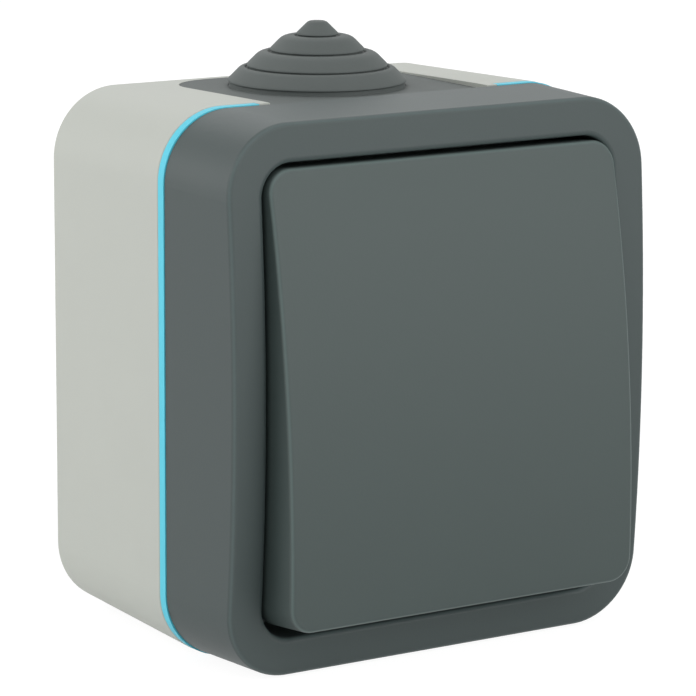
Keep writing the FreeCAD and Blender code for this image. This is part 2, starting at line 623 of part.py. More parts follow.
def make_cable_grommet():
    body = new_body("cable_grommet")
    front = sizes.box_depth - sizes.grommet_depth
    back = sizes.grommet_depth - sizes.plate_back
    over_front = front + sizes.plate_round * 2
    plate_low = back_z - sizes.box_wall
    plate = new_sketch(body, "plate", "XY_Plane", plate_low - sizes.box_wall / 4)
    add_rectangle(plate, sizes.plate_half - sizes.shaft_gap, (over_front + back - sizes.shaft_gap) / 2,
                  sizes.plate_round - sizes.shaft_gap, 0.0, (back - sizes.shaft_gap - over_front) / 2)
    pad(body, plate, sizes.box_wall * 2)

    # a level top, and a thin flap in front of the rim that covers the notch of the seal
    trim = new_sketch(body, "trim", "YZ_Plane")
    high = rim_z + sizes.box_wall * 3
    beyond = front + sizes.plate_round * 3
    flap_front = front + sizes.gasket_thickness - sizes.shaft_gap
    flap_low = rim_z - sizes.notch_depth + sizes.shaft_gap
    below = plate_low - sizes.box_wall
    add_polygon(trim, [(back, plate_top), (back, high), (-beyond, high), (-beyond, below), (-front, below),
                       (-front, flap_low), (-flap_front, flap_low), (-flap_front, plate_top)])
    pocket(body, trim, sizes.plate_half * 3, middle=True)

    under = new_sketch(body, "under", "YZ_Plane")
    seat = plate_low - sizes.plate_seat
    add_polygon(under, [(back, below), (back, seat + top_slope * sizes.plate_back),
                        (-front, seat + top_slope * sizes.box_depth), (-front, below)])
    pocket(body, under, sizes.plate_half * 3, middle=True)

    flange = new_sketch(body, "flange", "YZ_Plane")
    flange_back = sizes.box_floor + sizes.fit_gap
    flange_front = sizes.box_depth - sizes.flange_end
    corners = []
    for depth, drop in ((flange_back, sizes.flange_thickness), (flange_back, sizes.shaft_gap),
                        (flange_front, sizes.shaft_gap), (flange_front, sizes.flange_thickness)):
        corners.append((sizes.grommet_depth - depth, plate_low + top_slope * depth - drop))
    add_polygon(flange, corners)
    pad(body, flange, (sizes.plate_half + sizes.flange_reach) * 2, middle=True)

    cone = new_sketch(body, "steps", "YZ_Plane")
    root = plate_top - sizes.box_wall / 4
    outline = [(0.0, root), (sizes.step1_radius, root)]
    radii = [sizes.step1_radius, sizes.step2_radius, sizes.step3_radius]
    next_radius = dict(zip(radii, radii[1:] + [sizes.tip_base_radius]))
    tops = [sizes.step1_top, sizes.step2_top, sizes.step3_top]
    foot = plate_top
    for radius, top in zip(radii, tops):
        outline.append((radius, foot + sizes.step_rim))
        outline.append((radius - sizes.step_shoulder, plate_top + top))
        foot = plate_top + top
        following = next_radius[radius]
        outline.append((following, foot))
    outline.append((sizes.tip_end_radius, plate_top + sizes.tip_top))
    outline.append((0.0, plate_top + sizes.tip_top))
    add_polygon(cone, outline)
    revolve(body, cone)

    inside = new_sketch(body, "hollow", "YZ_Plane")
    inner = [(0.0, below), (sizes.step1_radius - sizes.skin, below)]
    foot = plate_top
    for radius, top in zip(radii, tops):
        inner.append((radius - sizes.skin, foot + sizes.step_rim - sizes.skin / 2))
        inner.append((radius - sizes.step_shoulder - sizes.skin / 2, plate_top + top - sizes.skin))
        foot = plate_top + top
        following = next_radius[radius]
        inner.append((following - sizes.skin, foot - sizes.skin))
    inner.append((0.0, plate_top + sizes.step3_top - sizes.skin))
    add_polygon(inside, inner)
    groove(body, inside)
    rounded = [plate_top + top for top in tops]

    def shoulder(edge):
        box = edge.BoundBox
        level = any(abs(box.ZMin - top.number) < 1e-3 and box.ZLength < 1e-3 for top in rounded)
        half = box.XLength / 2
        return level and any(abs(half - (radius - sizes.step_shoulder).number) < 1e-3 for radius in radii)
    fillet(body, sizes.step_round, shoulder)
    place(body, y=-sizes.grommet_depth)
    return body


def make_cover_gasket():
    body = new_body("cover_gasket")
    ring = new_sketch(body, "ring", "XZ_Plane", sizes.box_depth)
    outer = sizes.gasket_inset
    add_rectangle(ring, rim_x - outer, rim_z - outer, sizes.box_corner - outer)
    add_rectangle(ring, rim_x - sizes.box_wall, rim_z - sizes.box_wall, inner_corner)
    pad(body, ring, sizes.gasket_thickness)
    middle = sizes.cover_step + sizes.cover_wall / 2
    rib = new_sketch(body, "rib", "XZ_Plane", seal_depth)
    for offset in (middle - sizes.rib_width / 2, middle + sizes.rib_width / 2):
        add_rectangle(rib, rim_x - offset, rim_z - offset, sizes.box_corner - offset)
    pad(body, rib, sizes.gasket_rib)

    # notch for the horns of the box and the flap of the cable entry
    half = sizes.plate_half + sizes.horn_width + sizes.shaft_gap
    rib_gap = new_sketch(body, "rib_gap", "XZ_Plane", seal_depth)
    notch = new_sketch(body, "notch", "XZ_Plane", seal_depth)
    for sketch, low in ((rib_gap, rim_z - sizes.box_wall), (notch, rim_z - sizes.notch_depth)):
        add_polygon(sketch, [(-half, low), (half, low), (half, rim_z), (-half, rim_z)])
    pocket(body, rib_gap, sizes.gasket_rib + sizes.fit_gap, reverse=True)
    pocket(body, notch, sizes.gasket_thickness)
    return body


def make_front_cover():
    body = new_body("front_cover")
    reach = sizes.cover_depth + sizes.over_cut * 2
    share = reach / sizes.cover_depth
    rear = new_sketch(body, "rear", "XZ_Plane", seal_depth)
    add_rectangle(rear, cover_x, cover_z, sizes.cover_corner)
    front = new_sketch(body, "front", "XZ_Plane", seal_depth + reach)
    add_rectangle(front, cover_x - sizes.cover_draft_x * share, cover_z - sizes.cover_draft_z * share,
                  sizes.cover_corner)
    loft(body, [rear, front])
    bow = new_sketch(body, "bow", "YZ_Plane")
    add_bowed_region(bow, front_depth, sizes.cover_bow, rim_z + sizes.bow_margin,
                     front_depth + sizes.bow_margin)
    pocket(body, bow, sizes.box_width * 2, middle=True)

    def front_edge(edge):
        box = edge.BoundBox
        return box.YMax < -(tray_back.number) and box.YMin < -(front_depth - sizes.channel_roof).number
    fillet(body, sizes.cover_edge, front_edge)
    fillet(body, sizes.rear_edge, lambda edge: abs(edge.BoundBox.YMin + seal_depth.number) < 1e-3
           and edge.BoundBox.YLength < 1e-3)

    # hollow behind the tray, open towards the box
    hollow = new_sketch(body, "hollow", "XZ_Plane", seal_depth)
    wall = sizes.cover_wall
    add_rectangle(hollow, cover_x - wall, cover_z - wall, sizes.cover_corner - wall)
    pocket(body, hollow, tray_back - seal_depth, reverse=True)

    well = new_sketch(body, "well", "XZ_Plane", tray_front)
    add_rectangle(well, well_x, well_z, sizes.well_corner)
    pocket(body, well, sizes.cover_depth, reverse=True)

    # channel between the well's wall and the outer wall, open to the hollow
    channel = new_sketch(body, "channel", "XZ_Plane", tray_back)
    add_rectangle(channel, cover_x - sizes.cover_draft_x - wall, cover_z - sizes.cover_draft_z - wall,
                  sizes.cover_corner - wall)
    add_rectangle(channel, well_x + sizes.well_wall, well_z + sizes.well_wall,
                  sizes.well_corner + sizes.well_wall)
    pocket(body, channel, front_depth - tray_back - sizes.channel_roof, reverse=True)

    # centring tabs that slip into the box, each on a root that joins the outer wall
    tab_x = rim_x - sizes.box_wall - sizes.lip_gap
    tab_z = rim_z - sizes.box_wall - sizes.lip_gap
    root_x = cover_x - wall / 2
    root_z = cover_z - wall / 2
    tabs = new_sketch(body, "tabs", "XZ_Plane", sizes.box_depth - sizes.lip_depth)
    roots = new_sketch(body, "tab_roots", "XZ_Plane", seal_depth)
    half = sizes.tab_width / 2
    for sketch, out_x, out_z in ((tabs, tab_x, tab_z), (roots, root_x, root_z)):
        for across in (-1, 1):
            for up in (-1, 1):
                near = tab_x - sizes.lip_wall
                middle = (rim_z - sizes.tab_in_z) * up
                add_polygon(sketch, [(near * across, middle - half), (out_x * across, middle - half),
                                     (out_x * across, middle + half), (near * across, middle + half)])
                near = tab_z - sizes.lip_wall
                middle = (rim_x - sizes.tab_in_x) * across
                add_polygon(sketch, [(middle - half, near * up), (middle + half, near * up),
                                     (middle + half, out_z * up), (middle - half, out_z * up)])
    pad(body, tabs, seal_depth + sizes.tab_root - sizes.box_depth + sizes.lip_depth)
    pad(body, roots, sizes.tab_root)

    bosses = new_sketch(body, "bosses", "XZ_Plane", sizes.box_depth)
    for sign_x, sign_z in POST_SIGNS:
        add_circle(bosses, cover_screw_x * sign_x, cover_screw_z * sign_z, sizes.boss_radius)
    pad(body, bosses, tray_back - sizes.box_depth + sizes.tray_thickness / 2)

    sinks = new_sketch(body, "sinks", "XZ_Plane", tray_front)
    holes = new_sketch(body, "holes", "XZ_Plane", tray_front)
    for sign_x, sign_z in POST_SIGNS:
        x = cover_screw_x * sign_x
        z = cover_screw_z * sign_z
        add_circle(sinks, x, z, sizes.sink_radius)
        add_circle(holes, x, z, sizes.screw_radius + sizes.fit_gap)
    pocket(body, sinks, sizes.sink_depth)
    pocket(body, holes, tray_front - sizes.box_depth)

    neck = new_sketch(body, "neck_hole", "XZ_Plane", tray_front)
    add_rectangle(neck, neck_hole_x, neck_hole_z, neck_hole_corner)
    pocket(body, neck, sizes.tray_thickness)

    rib = new_sketch(body, "seal_groove", "XZ_Plane", seal_depth)
    middle = sizes.cover_step + sizes.cover_wall / 2
    half_rib = sizes.rib_width / 2 + sizes.shaft_gap
    for offset in (middle - half_rib, middle + half_rib):
        add_rectangle(rib, rim_x - offset, rim_z - offset, sizes.box_corner - offset)
    pocket(body, rib, sizes.gasket_rib + sizes.fit_gap, reverse=True)

    def well_rim(edge):
        box = edge.BoundBox
        half_x = well_x.number + 0.01
        half_z = well_z.number + 0.01
        inside = max(abs(box.XMin), abs(box.XMax)) < half_x and max(abs(box.ZMin), abs(box.ZMax)) < half_z
        return inside and box.YMax < -(tray_front + sizes.tray_sink / 2).number
    fillet(body, sizes.well_edge, well_rim)
    return body


def make_rocker_key():
    """Modelled about the pivot, with the face level, then tilted."""
    body = new_body("rocker_key")
    half_x = rocker_x
    half_z = rocker_z
    block = new_sketch(body, "block", "XZ_Plane", -sizes.skirt_middle)
    add_rectangle(block, half_x, half_z, sizes.rocker_corner)
    pad(body, block, sizes.rocker_rise + sizes.skirt_middle + sizes.over_cut)

    hollow = new_sketch(body, "hollow", "XZ_Plane", -sizes.skirt_middle)
    skirt = sizes.rocker_skirt
    add_rectangle(hollow, half_x - skirt, half_z - skirt, sizes.rocker_corner - skirt)
    ceiling = sizes.rocker_rise - sizes.rocker_shell - sizes.ceiling_drop
    pocket(body, hollow, ceiling + sizes.skirt_middle, reverse=True)
    dome = new_sketch(body, "dome", "YZ_Plane")
    add_bowed_region(dome, sizes.rocker_rise - sizes.rocker_shell, sizes.rocker_bow - sizes.rocker_shell,
                     half_z - skirt - sizes.dome_inset, ceiling - sizes.over_cut)
    pocket(body, dome, (half_x - skirt - sizes.dome_inset) * 2, middle=True)

    # the skirt's rear edge is a shallow V, so that the pressed half lies level over the tray
    wedge = new_sketch(body, "wedge", "YZ_Plane")
    behind = sizes.skirt_middle + sizes.over_cut
    beside = half_z + sizes.over_cut
    add_polygon(wedge, [(sizes.skirt_middle, 0.0), (-sizes.skirt_end, half_z), (-sizes.skirt_end, beside),
                        (behind, beside), (behind, -beside), (-sizes.skirt_end, -beside),
                        (-sizes.skirt_end, -half_z)])
    pocket(body, wedge, half_x * 4, middle=True)

    ribs = new_sketch(body, "ribs", "XZ_Plane", sizes.rocker_rise)
    rib = sizes.rib_thickness / 2
    wall_x = half_x - skirt / 2
    wall_z = half_z - skirt / 2
    core_x = sizes.collar_width / 2
    core_z = sizes.head_height / 2
    for sign in (-1, 1):
        start_x = (core_x - sizes.over_cut) * sign
        start_z = (core_z - sizes.over_cut) * sign
        add_polygon(ribs, [(start_x, -rib), (wall_x * sign, -rib), (wall_x * sign, rib), (start_x, rib)])
        add_polygon(ribs, [(-rib, start_z), (rib, start_z), (rib, wall_z * sign), (-rib, wall_z * sign)])
    pad(body, ribs, sizes.rib_drop, reverse=True)

    stem = new_sketch(body, "stem", "XZ_Plane", sizes.head_rise)
    add_rectangle(stem, core_x, core_z, sizes.lever_corner)
    pad(body, stem, sizes.rocker_rise - sizes.head_rise)

    clips = new_sketch(body, "clips", "YZ_Plane")
    clip_end = sizes.head_rise - sizes.head_thickness
    clip_root = sizes.head_rise + sizes.over_cut
    half_clip = sizes.clip_thickness / 2
    for sign in (-1, 1):
        near = (sizes.clip_offset - half_clip) * sign
        far = (sizes.clip_offset + half_clip) * sign
        hook = (sizes.clip_offset + half_clip + sizes.clip_hook) * sign
        tip = clip_end - sizes.fit_gap - sizes.clip_hook_height
        add_polygon(clips, [(-clip_root, near), (-tip, near), (-tip, far),
                            (-clip_end + sizes.fit_gap, hook), (-clip_end + sizes.fit_gap, far),
                            (-clip_root, far)])
    pad(body, clips, sizes.clip_width, middle=True)

    bow = new_sketch(body, "bow", "YZ_Plane")
    add_bowed_region(bow, sizes.rocker_rise, sizes.rocker_bow, half_z + sizes.bow_margin,
                     sizes.rocker_rise + sizes.bow_margin)
    pocket(body, bow, half_x * 4, middle=True)

    def face_edge(edge):
        box = edge.BoundBox
        at_side = max(abs(box.XMin), abs(box.XMax)) > half_x.number - sizes.rocker_corner.number - 0.01
        at_end = max(abs(box.ZMin), abs(box.ZMax)) > half_z.number - sizes.rocker_corner.number - 0.01
        return box.YMax < -(ceiling + sizes.over_cut / 2).number and (at_side or at_end)
    fillet(body, sizes.rocker_edge, face_edge)
    place(body, y=-pivot_depth, tilt=sizes.rocker_tilt, axis=(-1, 0, 0))
    return body


def make_switch_lever():
    body = new_body("switch_lever")
    pins = new_sketch(body, "pins", "YZ_Plane")
    add_circle(pins, 0.0, 0.0, sizes.pin_radius)
    pad(body, pins, sizes.lever_width + (sizes.cheek_gap + sizes.cheek_thickness) * 2, middle=True)
    hub = new_sketch(body, "hub", "YZ_Plane")
    add_circle(hub, 0.0, 0.0, sizes.hub_radius)
    pad(body, hub, sizes.lever_width, middle=True)
    head = new_sketch(body, "head", "XZ_Plane", sizes.head_rise)
    add_rectangle(head, sizes.lever_width / 2, sizes.head_height / 2, sizes.lever_corner)
    pad(body, head, sizes.head_thickness, reverse=True)
    stem = new_sketch(body, "stem", "XZ_Plane", sizes.head_rise - sizes.head_thickness / 2)
    add_circle(stem, 0.0, 0.0, sizes.stem_radius)
    pad(body, stem, stem_reach + sizes.head_rise - sizes.head_thickness / 2, reverse=True)
    bore = new_sketch(body, "bore", "XZ_Plane", -stem_reach)
    add_circle(bore, 0.0, 0.0, sizes.bore_radius)
    pocket(body, bore, stem_reach - sizes.bore_start, reverse=True)
    windows = new_sketch(body, "windows", "XZ_Plane", sizes.head_rise)
    half_x = sizes.clip_width / 2 + sizes.fit_gap
    for sign in (-1, 1):
        near = (sizes.clip_offset - sizes.clip_thickness / 2 - sizes.fit_gap) * sign
        far = (sizes.clip_offset + sizes.clip_thickness / 2 + sizes.fit_gap) * sign
        add_polygon(windows, [(-half_x, near), (half_x, near), (half_x, far), (-half_x, far)])
    pocket(body, windows, sizes.head_rise + sizes.hub_radius)
    place(body, y=-pivot_depth, tilt=sizes.rocker_tilt, axis=(-1, 0, 0))
    return body


def make_plunger():
    body = new_body("plunger")
    profile = new_sketch(body, "profile", "XY_Plane")
    radius = sizes.bore_radius - sizes.shaft_gap
    shoulder = stem_reach + sizes.plunger_collar
    nose_start = plunger_tip - sizes.plunger_nose
    add_polygon(profile, [(0.0, plunger_tail), (radius, plunger_tail), (radius, shoulder),
                          (sizes.plunger_nose, shoulder + sizes.plunger_collar / 2),
                          (sizes.plunger_nose, nose_start),
                          (sizes.plunger_nose / 2, plunger_tip), (0.0, plunger_tip)])
    revolve(body, profile)
    fillet(body, sizes.nose_round, lambda edge: abs(edge.BoundBox.YMin - nose_start.number) < 1e-3
           and edge.BoundBox.YLength < 1e-3)
    place(body, y=-pivot_depth, tilt=sizes.rocker_tilt, axis=(-1, 0, 0))
    return body


def make_lever_spring():
    """A wire wound between the bottom of the bore and the plunger's tail."""
    gap = float(plunger_tail - sizes.bore_start)
    wire = float(sizes.spring_wire)
    radius = float(sizes.spring_radius)
    height = gap - wire - 2 * float(sizes.shaft_gap)
    pitch = height / float(sizes.spring_turns)
    helix = Part.makeHelix(pitch, height, radius)
    section = Part.Wire(Part.makeCircle(wire / 2, FreeCAD.Vector(radius, 0, 0), FreeCAD.Vector(0, 1, 0)))
    coil = Part.Wire(helix.Edges).makePipeShell([section], True, True)
    coil.rotate(FreeCAD.Vector(0, 0, 0), FreeCAD.Vector(1, 0, 0), -90)
    coil.translate(FreeCAD.Vector(0, float(sizes.bore_start + sizes.shaft_gap) + wire / 2, 0))
    spring = doc.addObject("Part::Feature", "lever_spring")
    spring.Label = "lever_spring"
    spring.Shape = Part.makeCompound([coil])
    place(spring, y=-pivot_depth, tilt=sizes.rocker_tilt, axis=(-1, 0, 0))
    parts.append(spring)
    return spring


def make_mechanism_plate():
    body = new_body("mechanism_plate")
    plate = new_sketch(body, "plate", "XZ_Plane", sizes.box_depth)
    add_rectangle(plate, base_x, plate_z, sizes.plate_corner)
    pad(body, plate, sizes.plate_thickness)
    ears = new_sketch(body, "ears", "XZ_Plane", sizes.box_depth)
    for sign_x, sign_z in PLATE_SIGNS:
        end = plate_screw_z + sizes.ear_radius
        add_rectangle(ears, sizes.ear_radius, (end - plate_z + sizes.ear_root) / 2, sizes.ear_corner,
                      plate_screw_x * sign_x, (end + plate_z - sizes.ear_root) / 2 * sign_z)
    pad(body, ears, sizes.plate_thickness)
    neck = new_sketch(body, "neck", "XZ_Plane", plate_front)
    add_rectangle(neck, sizes.neck_width / 2, sizes.neck_height / 2, sizes.neck_corner)
    pad(body, neck, neck_rise)
    inner = new_sketch(body, "throat", "XZ_Plane", plate_front + neck_rise)
    add_rectangle(inner, sizes.neck_width / 2 - sizes.neck_wall, sizes.neck_height / 2 - sizes.neck_wall,
                  sizes.neck_corner - sizes.neck_wall)
    pocket(body, inner, neck_rise + sizes.plate_thickness)

    cheek_near = sizes.lever_width / 2 + sizes.cheek_gap
    cheek_far = cheek_near + sizes.cheek_thickness
    cheeks = new_sketch(body, "cheeks", "XZ_Plane", sizes.box_depth)
    half = sizes.cheek_height / 2
    for sign in (-1, 1):
        add_polygon(cheeks, [(cheek_near * sign, -half), (cheek_far * sign, -half),
                             (cheek_far * sign, half), (cheek_near * sign, half)])
    pad(body, cheeks, pivot_depth + sizes.cheek_rise - sizes.box_depth)
    cheek_end = pivot_depth + sizes.cheek_rise
    fillet(body, sizes.cheek_round,
           lambda edge: abs(edge.BoundBox.YMin + cheek_end.number) < 1e-3
           and abs(edge.BoundBox.XLength - sizes.cheek_thickness.number) < 1e-3)
    bearing = new_sketch(body, "bearing", "YZ_Plane")
    add_circle(bearing, -pivot_depth, 0.0, sizes.pin_radius + sizes.shaft_gap)
    pocket(body, bearing, (cheek_far + sizes.over_cut) * 2, middle=True)

    arms = new_sketch(body, "arms", "YZ_Plane")
    inner_z = base_z + sizes.fit_gap
    outer_z = inner_z + sizes.arm_thickness
    arm_end = sizes.box_depth - sizes.arm_length
    arm_root = sizes.box_depth + sizes.plate_thickness / 2
    hook_z = inner_z - sizes.arm_hook
    hook_end = arm_end + sizes.hook_length
    for sign in (-1, 1):
        add_polygon(arms, [(-arm_root, inner_z * sign), (-arm_root, outer_z * sign),
                           (-arm_end, outer_z * sign), (-arm_end - sizes.hook_slope, hook_z * sign),
                           (-hook_end, hook_z * sign), (-hook_end, inner_z * sign)])
    pad(body, arms, sizes.arm_width, middle=True)

    holes = new_sketch(body, "holes", "XZ_Plane", plate_front)
    for sign_x, sign_z in PLATE_SIGNS:
        add_circle(holes, plate_screw_x * sign_x, plate_screw_z * sign_z,
                   sizes.screw_radius + sizes.fit_gap)
    for sign in (-1, 1):
        add_circle(holes, pocket_x * sign, sizes.pocket_z, sizes.access_radius)
    pocket(body, holes, sizes.plate_thickness)
    return body


def make_collar_gasket():
    body = new_body("collar_gasket")
    ring = new_sketch(body, "ring", "XZ_Plane", plate_front)
    add_rectangle(ring, neck_hole_x + sizes.collar_wall, neck_hole_z + sizes.collar_wall,
                  neck_hole_corner + sizes.collar_wall)
    add_rectangle(ring, neck_hole_x - sizes.neck_gap + sizes.shaft_gap,
                  neck_hole_z - sizes.neck_gap + sizes.shaft_gap, sizes.neck_corner + sizes.shaft_gap)
    pad(body, ring, tray_back - plate_front)
    return body


def make_mechanism_base():
    body = new_body("mechanism_base")
    block = new_sketch(body, "block", "XZ_Plane", base_back)
    add_rectangle(block, base_x, base_z, sizes.base_corner)
    pad(body, block, sizes.base_depth)
    chamber = new_sketch(body, "chamber", "XZ_Plane", sizes.box_depth)
    add_rectangle(chamber, sizes.chamber_width / 2, sizes.chamber_height / 2, sizes.chamber_corner)
    pocket(body, chamber, sizes.base_depth - sizes.base_floor)
    pockets = new_sketch(body, "pockets", "XZ_Plane", sizes.box_depth)
    middle = (sizes.pocket_high + sizes.pocket_low) / 2
    for sign in (-1, 1):
        add_rectangle(pockets, sizes.pocket_width / 2, (sizes.pocket_high - sizes.pocket_low) / 2,
                      sizes.clamp_corner, pocket_x * sign, middle)
    pocket(body, pockets, sizes.base_depth - sizes.base_floor)

    # a strip runs from the middle chamber to each terminal pocket
    gates = new_sketch(body, "gates", "XZ_Plane", strip_front + sizes.fit_gap)
    half = sizes.strip_width / 2 + sizes.fit_gap
    inside = sizes.chamber_width / 2 - sizes.over_cut
    outside = pocket_x - sizes.pocket_width / 2 + sizes.over_cut
    add_polygon(gates, [(-outside, -half), (-inside, -half), (-inside, half), (-outside, half)])
    add_polygon(gates, [(inside, sizes.tip_place - half), (outside, sizes.tip_place - half),
                        (outside, sizes.tip_place + half), (inside, sizes.tip_place + half)])
    pocket(body, gates, sizes.strip_thickness + sizes.fit_gap)

    wires = new_sketch(body, "wire_entries", "XY_Plane", sizes.pocket_high - sizes.over_cut)
    for sign in (-1, 1):
        add_circle(wires, pocket_x * sign, -(strip_front + sizes.clamp_depth / 2), sizes.wire_radius)
    pocket(body, wires, sizes.base_height, reverse=True)

    notches = new_sketch(body, "notches", "YZ_Plane")
    arm_end = sizes.box_depth - sizes.arm_length
    notch_back = arm_end - sizes.over_cut
    notch_front = arm_end + sizes.hook_length + sizes.fit_gap
    notch_low = base_z - sizes.arm_hook - sizes.fit_gap
    notch_high = base_z + sizes.over_cut
    for sign in (-1, 1):
        add_polygon(notches, [(-notch_back, notch_high * sign), (-notch_back, notch_low * sign),
                              (-notch_front, notch_low * sign), (-notch_front, notch_high * sign)])
    pocket(body, notches, sizes.arm_width + sizes.over_cut, middle=True)
    return body


def make_common_contact():
    body = new_body("common_contact")
    strip = new_sketch(body, "strip", "XZ_Plane", strip_back)
    half = sizes.strip_width / 2
    left = pocket_x + sizes.clamp_width / 2
    right = pocket_x - sizes.clamp_width / 2
    top = sizes.pocket_z + sizes.clamp_height / 2
    add_polygon(strip, [(-left, -half), (half, -half), (half, half), (-right, half), (-right, top),
                        (-left, top)])
    pad(body, strip, sizes.strip_thickness)
    fulcrum = new_sketch(body, "fulcrum", "XZ_Plane", strip_front)
    half_x = sizes.fulcrum_width / 2
    half_z = sizes.fulcrum_height / 2
    add_polygon(fulcrum, [(-half_x, -half_z), (half_x, -half_z), (half_x, half_z), (-half_x, half_z)])
    pad(body, fulcrum, fulcrum_depth - sizes.fulcrum_relief - strip_front)
    trough = new_sketch(body, "trough", "YZ_Plane")
    add_circle(trough, -fulcrum_depth, 0.0, sizes.bridge_pin + sizes.shaft_gap)
    pocket(body, trough, sizes.fulcrum_width * 2, middle=True)
    return body


def make_switched_contact():
    body = new_body("switched_contact")
    strip = new_sketch(body, "strip", "XZ_Plane", strip_back)
    half = sizes.strip_width / 2
    right = pocket_x + sizes.clamp_width / 2
    add_polygon(strip, [(-half, sizes.tip_place - half), (right, sizes.tip_place - half),
                        (right, sizes.tip_place + half), (-half, sizes.tip_place + half)])
    pad(body, strip, sizes.strip_thickness)
    return body


def make_contact_bridge():
    """A see-saw strip with a round underside and raised wings, modelled about its axis."""
    body = new_body("contact_bridge")
    strip = new_sketch(body, "strip", "YZ_Plane")
    top = -sizes.bridge_thickness
    crest = top - sizes.bridge_wing
    end = sizes.bridge_reach
    add_polygon(strip, [(0.0, -end), (0.0, end), (top, end), (top, sizes.wing_foot),
                        (crest, sizes.wing_reach), (top, 0.0), (crest, -sizes.wing_reach),
                        (top, -sizes.wing_foot), (top, -end)])
    pad(body, strip, sizes.bridge_width, middle=True)
    keel = new_sketch(body, "keel", "YZ_Plane")
    arc = keel.addGeometry(Part.ArcOfCircle(Part.Circle(
        FreeCAD.Vector(0, 0, 0), FreeCAD.Vector(0, 0, 1), float(sizes.bridge_pin)),
        -math.pi / 2, math.pi / 2), False)
    start = FreeCAD.Vector(0, float(sizes.bridge_pin), 0)
    chord = keel.addGeometry(Part.LineSegment(start, -start), False)
    keel.addConstraint(Sketcher.Constraint("Coincident", arc, 2, chord, 1))
    keel.addConstraint(Sketcher.Constraint("Coincident", chord, 2, arc, 1))
    keel.addConstraint(Sketcher.Constraint("Coincident", arc, 3, *ORIGIN_POINT))
    keel.addConstraint(Sketcher.Constraint("PointOnObject", arc, 1, -2))
    keel.addConstraint(Sketcher.Constraint("PointOnObject", arc, 2, -2))
    drive(keel, Sketcher.Constraint("Radius", arc, float(sizes.bridge_pin)), sizes.bridge_pin)
    pad(body, keel, sizes.bridge_width, middle=True)
    place(body, y=-fulcrum_depth, tilt=sizes.bridge_tilt, axis=(1, 0, 0))
    return body


def closed_tip_depth():
    """Front face of the fixed rivet: where the moving rivet's face comes down when the bridge tips."""
    swing = math.radians(float(sizes.bridge_tilt))
    reach = float(sizes.tip_place) + float(sizes.tip_radius)
    drop = float(sizes.moving_tip_height) * math.cos(swing) + reach * math.sin(swing)
    return float(fulcrum_depth) - drop - float(sizes.contact_gap)


def turned_cylinder(label, radius, height, spin, base):
    """A rivet, turned by a rotation and put in its place by a Part::Feature."""
    shape = Part.makeCylinder(radius, height)
    shape = shape.makeFillet(min(float(sizes.tip_round), height / 3), [item for item in shape.Edges
                                                      if abs(item.CenterOfMass.z - height) < 1e-6
                                                      and item.BoundBox.ZLength < 1e-6])
    rivet = doc.addObject("Part::Feature", label)
    rivet.Label = label
    rivet.Shape = shape
    rivet.Placement = FreeCAD.Placement(base, spin)
    parts.append(rivet)
    return rivet


def make_contact_tips():
    radius = float(sizes.tip_radius)
    tilt = FreeCAD.Rotation(FreeCAD.Vector(1, 0, 0), float(sizes.bridge_tilt))
    pivot = FreeCAD.Vector(0, -float(fulcrum_depth), 0)
    to_wall = FreeCAD.Rotation(FreeCAD.Vector(1, 0, 0), -90)
    to_front = FreeCAD.Rotation(FreeCAD.Vector(1, 0, 0), 90)
    seat = pivot + tilt.multVec(FreeCAD.Vector(0, 0, float(sizes.tip_place)))
    turned_cylinder("moving_contact_tip", radius, float(sizes.moving_tip_height),
                    tilt.multiply(to_wall), seat)
    height = closed_tip_depth() - float(strip_front)
    turned_cylinder("fixed_contact_tip", radius, height, to_front,
                    FreeCAD.Vector(0, -float(strip_front), float(sizes.tip_place)))


def make_terminal_clamp(label, x, z, depth, width, height, length):
    """A brass block with a cross hole for the wire and a threaded hole for the screw."""
    body = new_body(label)
    block = new_sketch(body, "block", "XZ_Plane", depth)
    add_rectangle(block, width / 2, height / 2, sizes.clamp_corner)
    pad(body, block, length)
    wire = new_sketch(body, "wire_hole", "XY_Plane" if label != "earth_terminal" else "YZ_Plane")
    if label == "earth_terminal":
        add_circle(wire, -(dim(depth) + length / 2), 0.0, sizes.wire_radius)
    else:
        add_circle(wire, 0.0, -(dim(depth) + length / 2), sizes.wire_radius)
    pocket(body, wire, sizes.base_height, middle=True)
    screw = new_sketch(body, "screw_hole", "XZ_Plane", dim(depth) + length)
    add_circle(screw, 0.0, 0.0, sizes.clamp_screw_radius + sizes.shaft_gap)
    pocket(body, screw, length / 2)
    place(body, x=x, z=z)
    return body


def screw_shape(head_radius, head_height, shank_radius, length, taper):
    """A slotted screw along -Z, its head's underside at z = 0."""
    slot_width = float(sizes.slot_width)
    slot_depth = float(sizes.slot_depth)
    head = Part.makeCylinder(head_radius, head_height)
    head = head.makeFillet(float(sizes.head_round), [edge for edge in head.Edges
                                              if abs(edge.BoundBox.ZMin - head_height) < 1e-6])
    slot = Part.makeBox(head_radius * 4, slot_width, slot_depth * 2,
                        FreeCAD.Vector(-head_radius * 2, -slot_width / 2, head_height - slot_depth))
    shank = Part.makeCylinder(shank_radius, length - taper, FreeCAD.Vector(0, 0, -(length - taper)))
    point = Part.makeCone(shank_radius - taper, shank_radius, taper, FreeCAD.Vector(0, 0, -length))
    return head.fuse([shank, point]).cut(slot).removeSplitter()


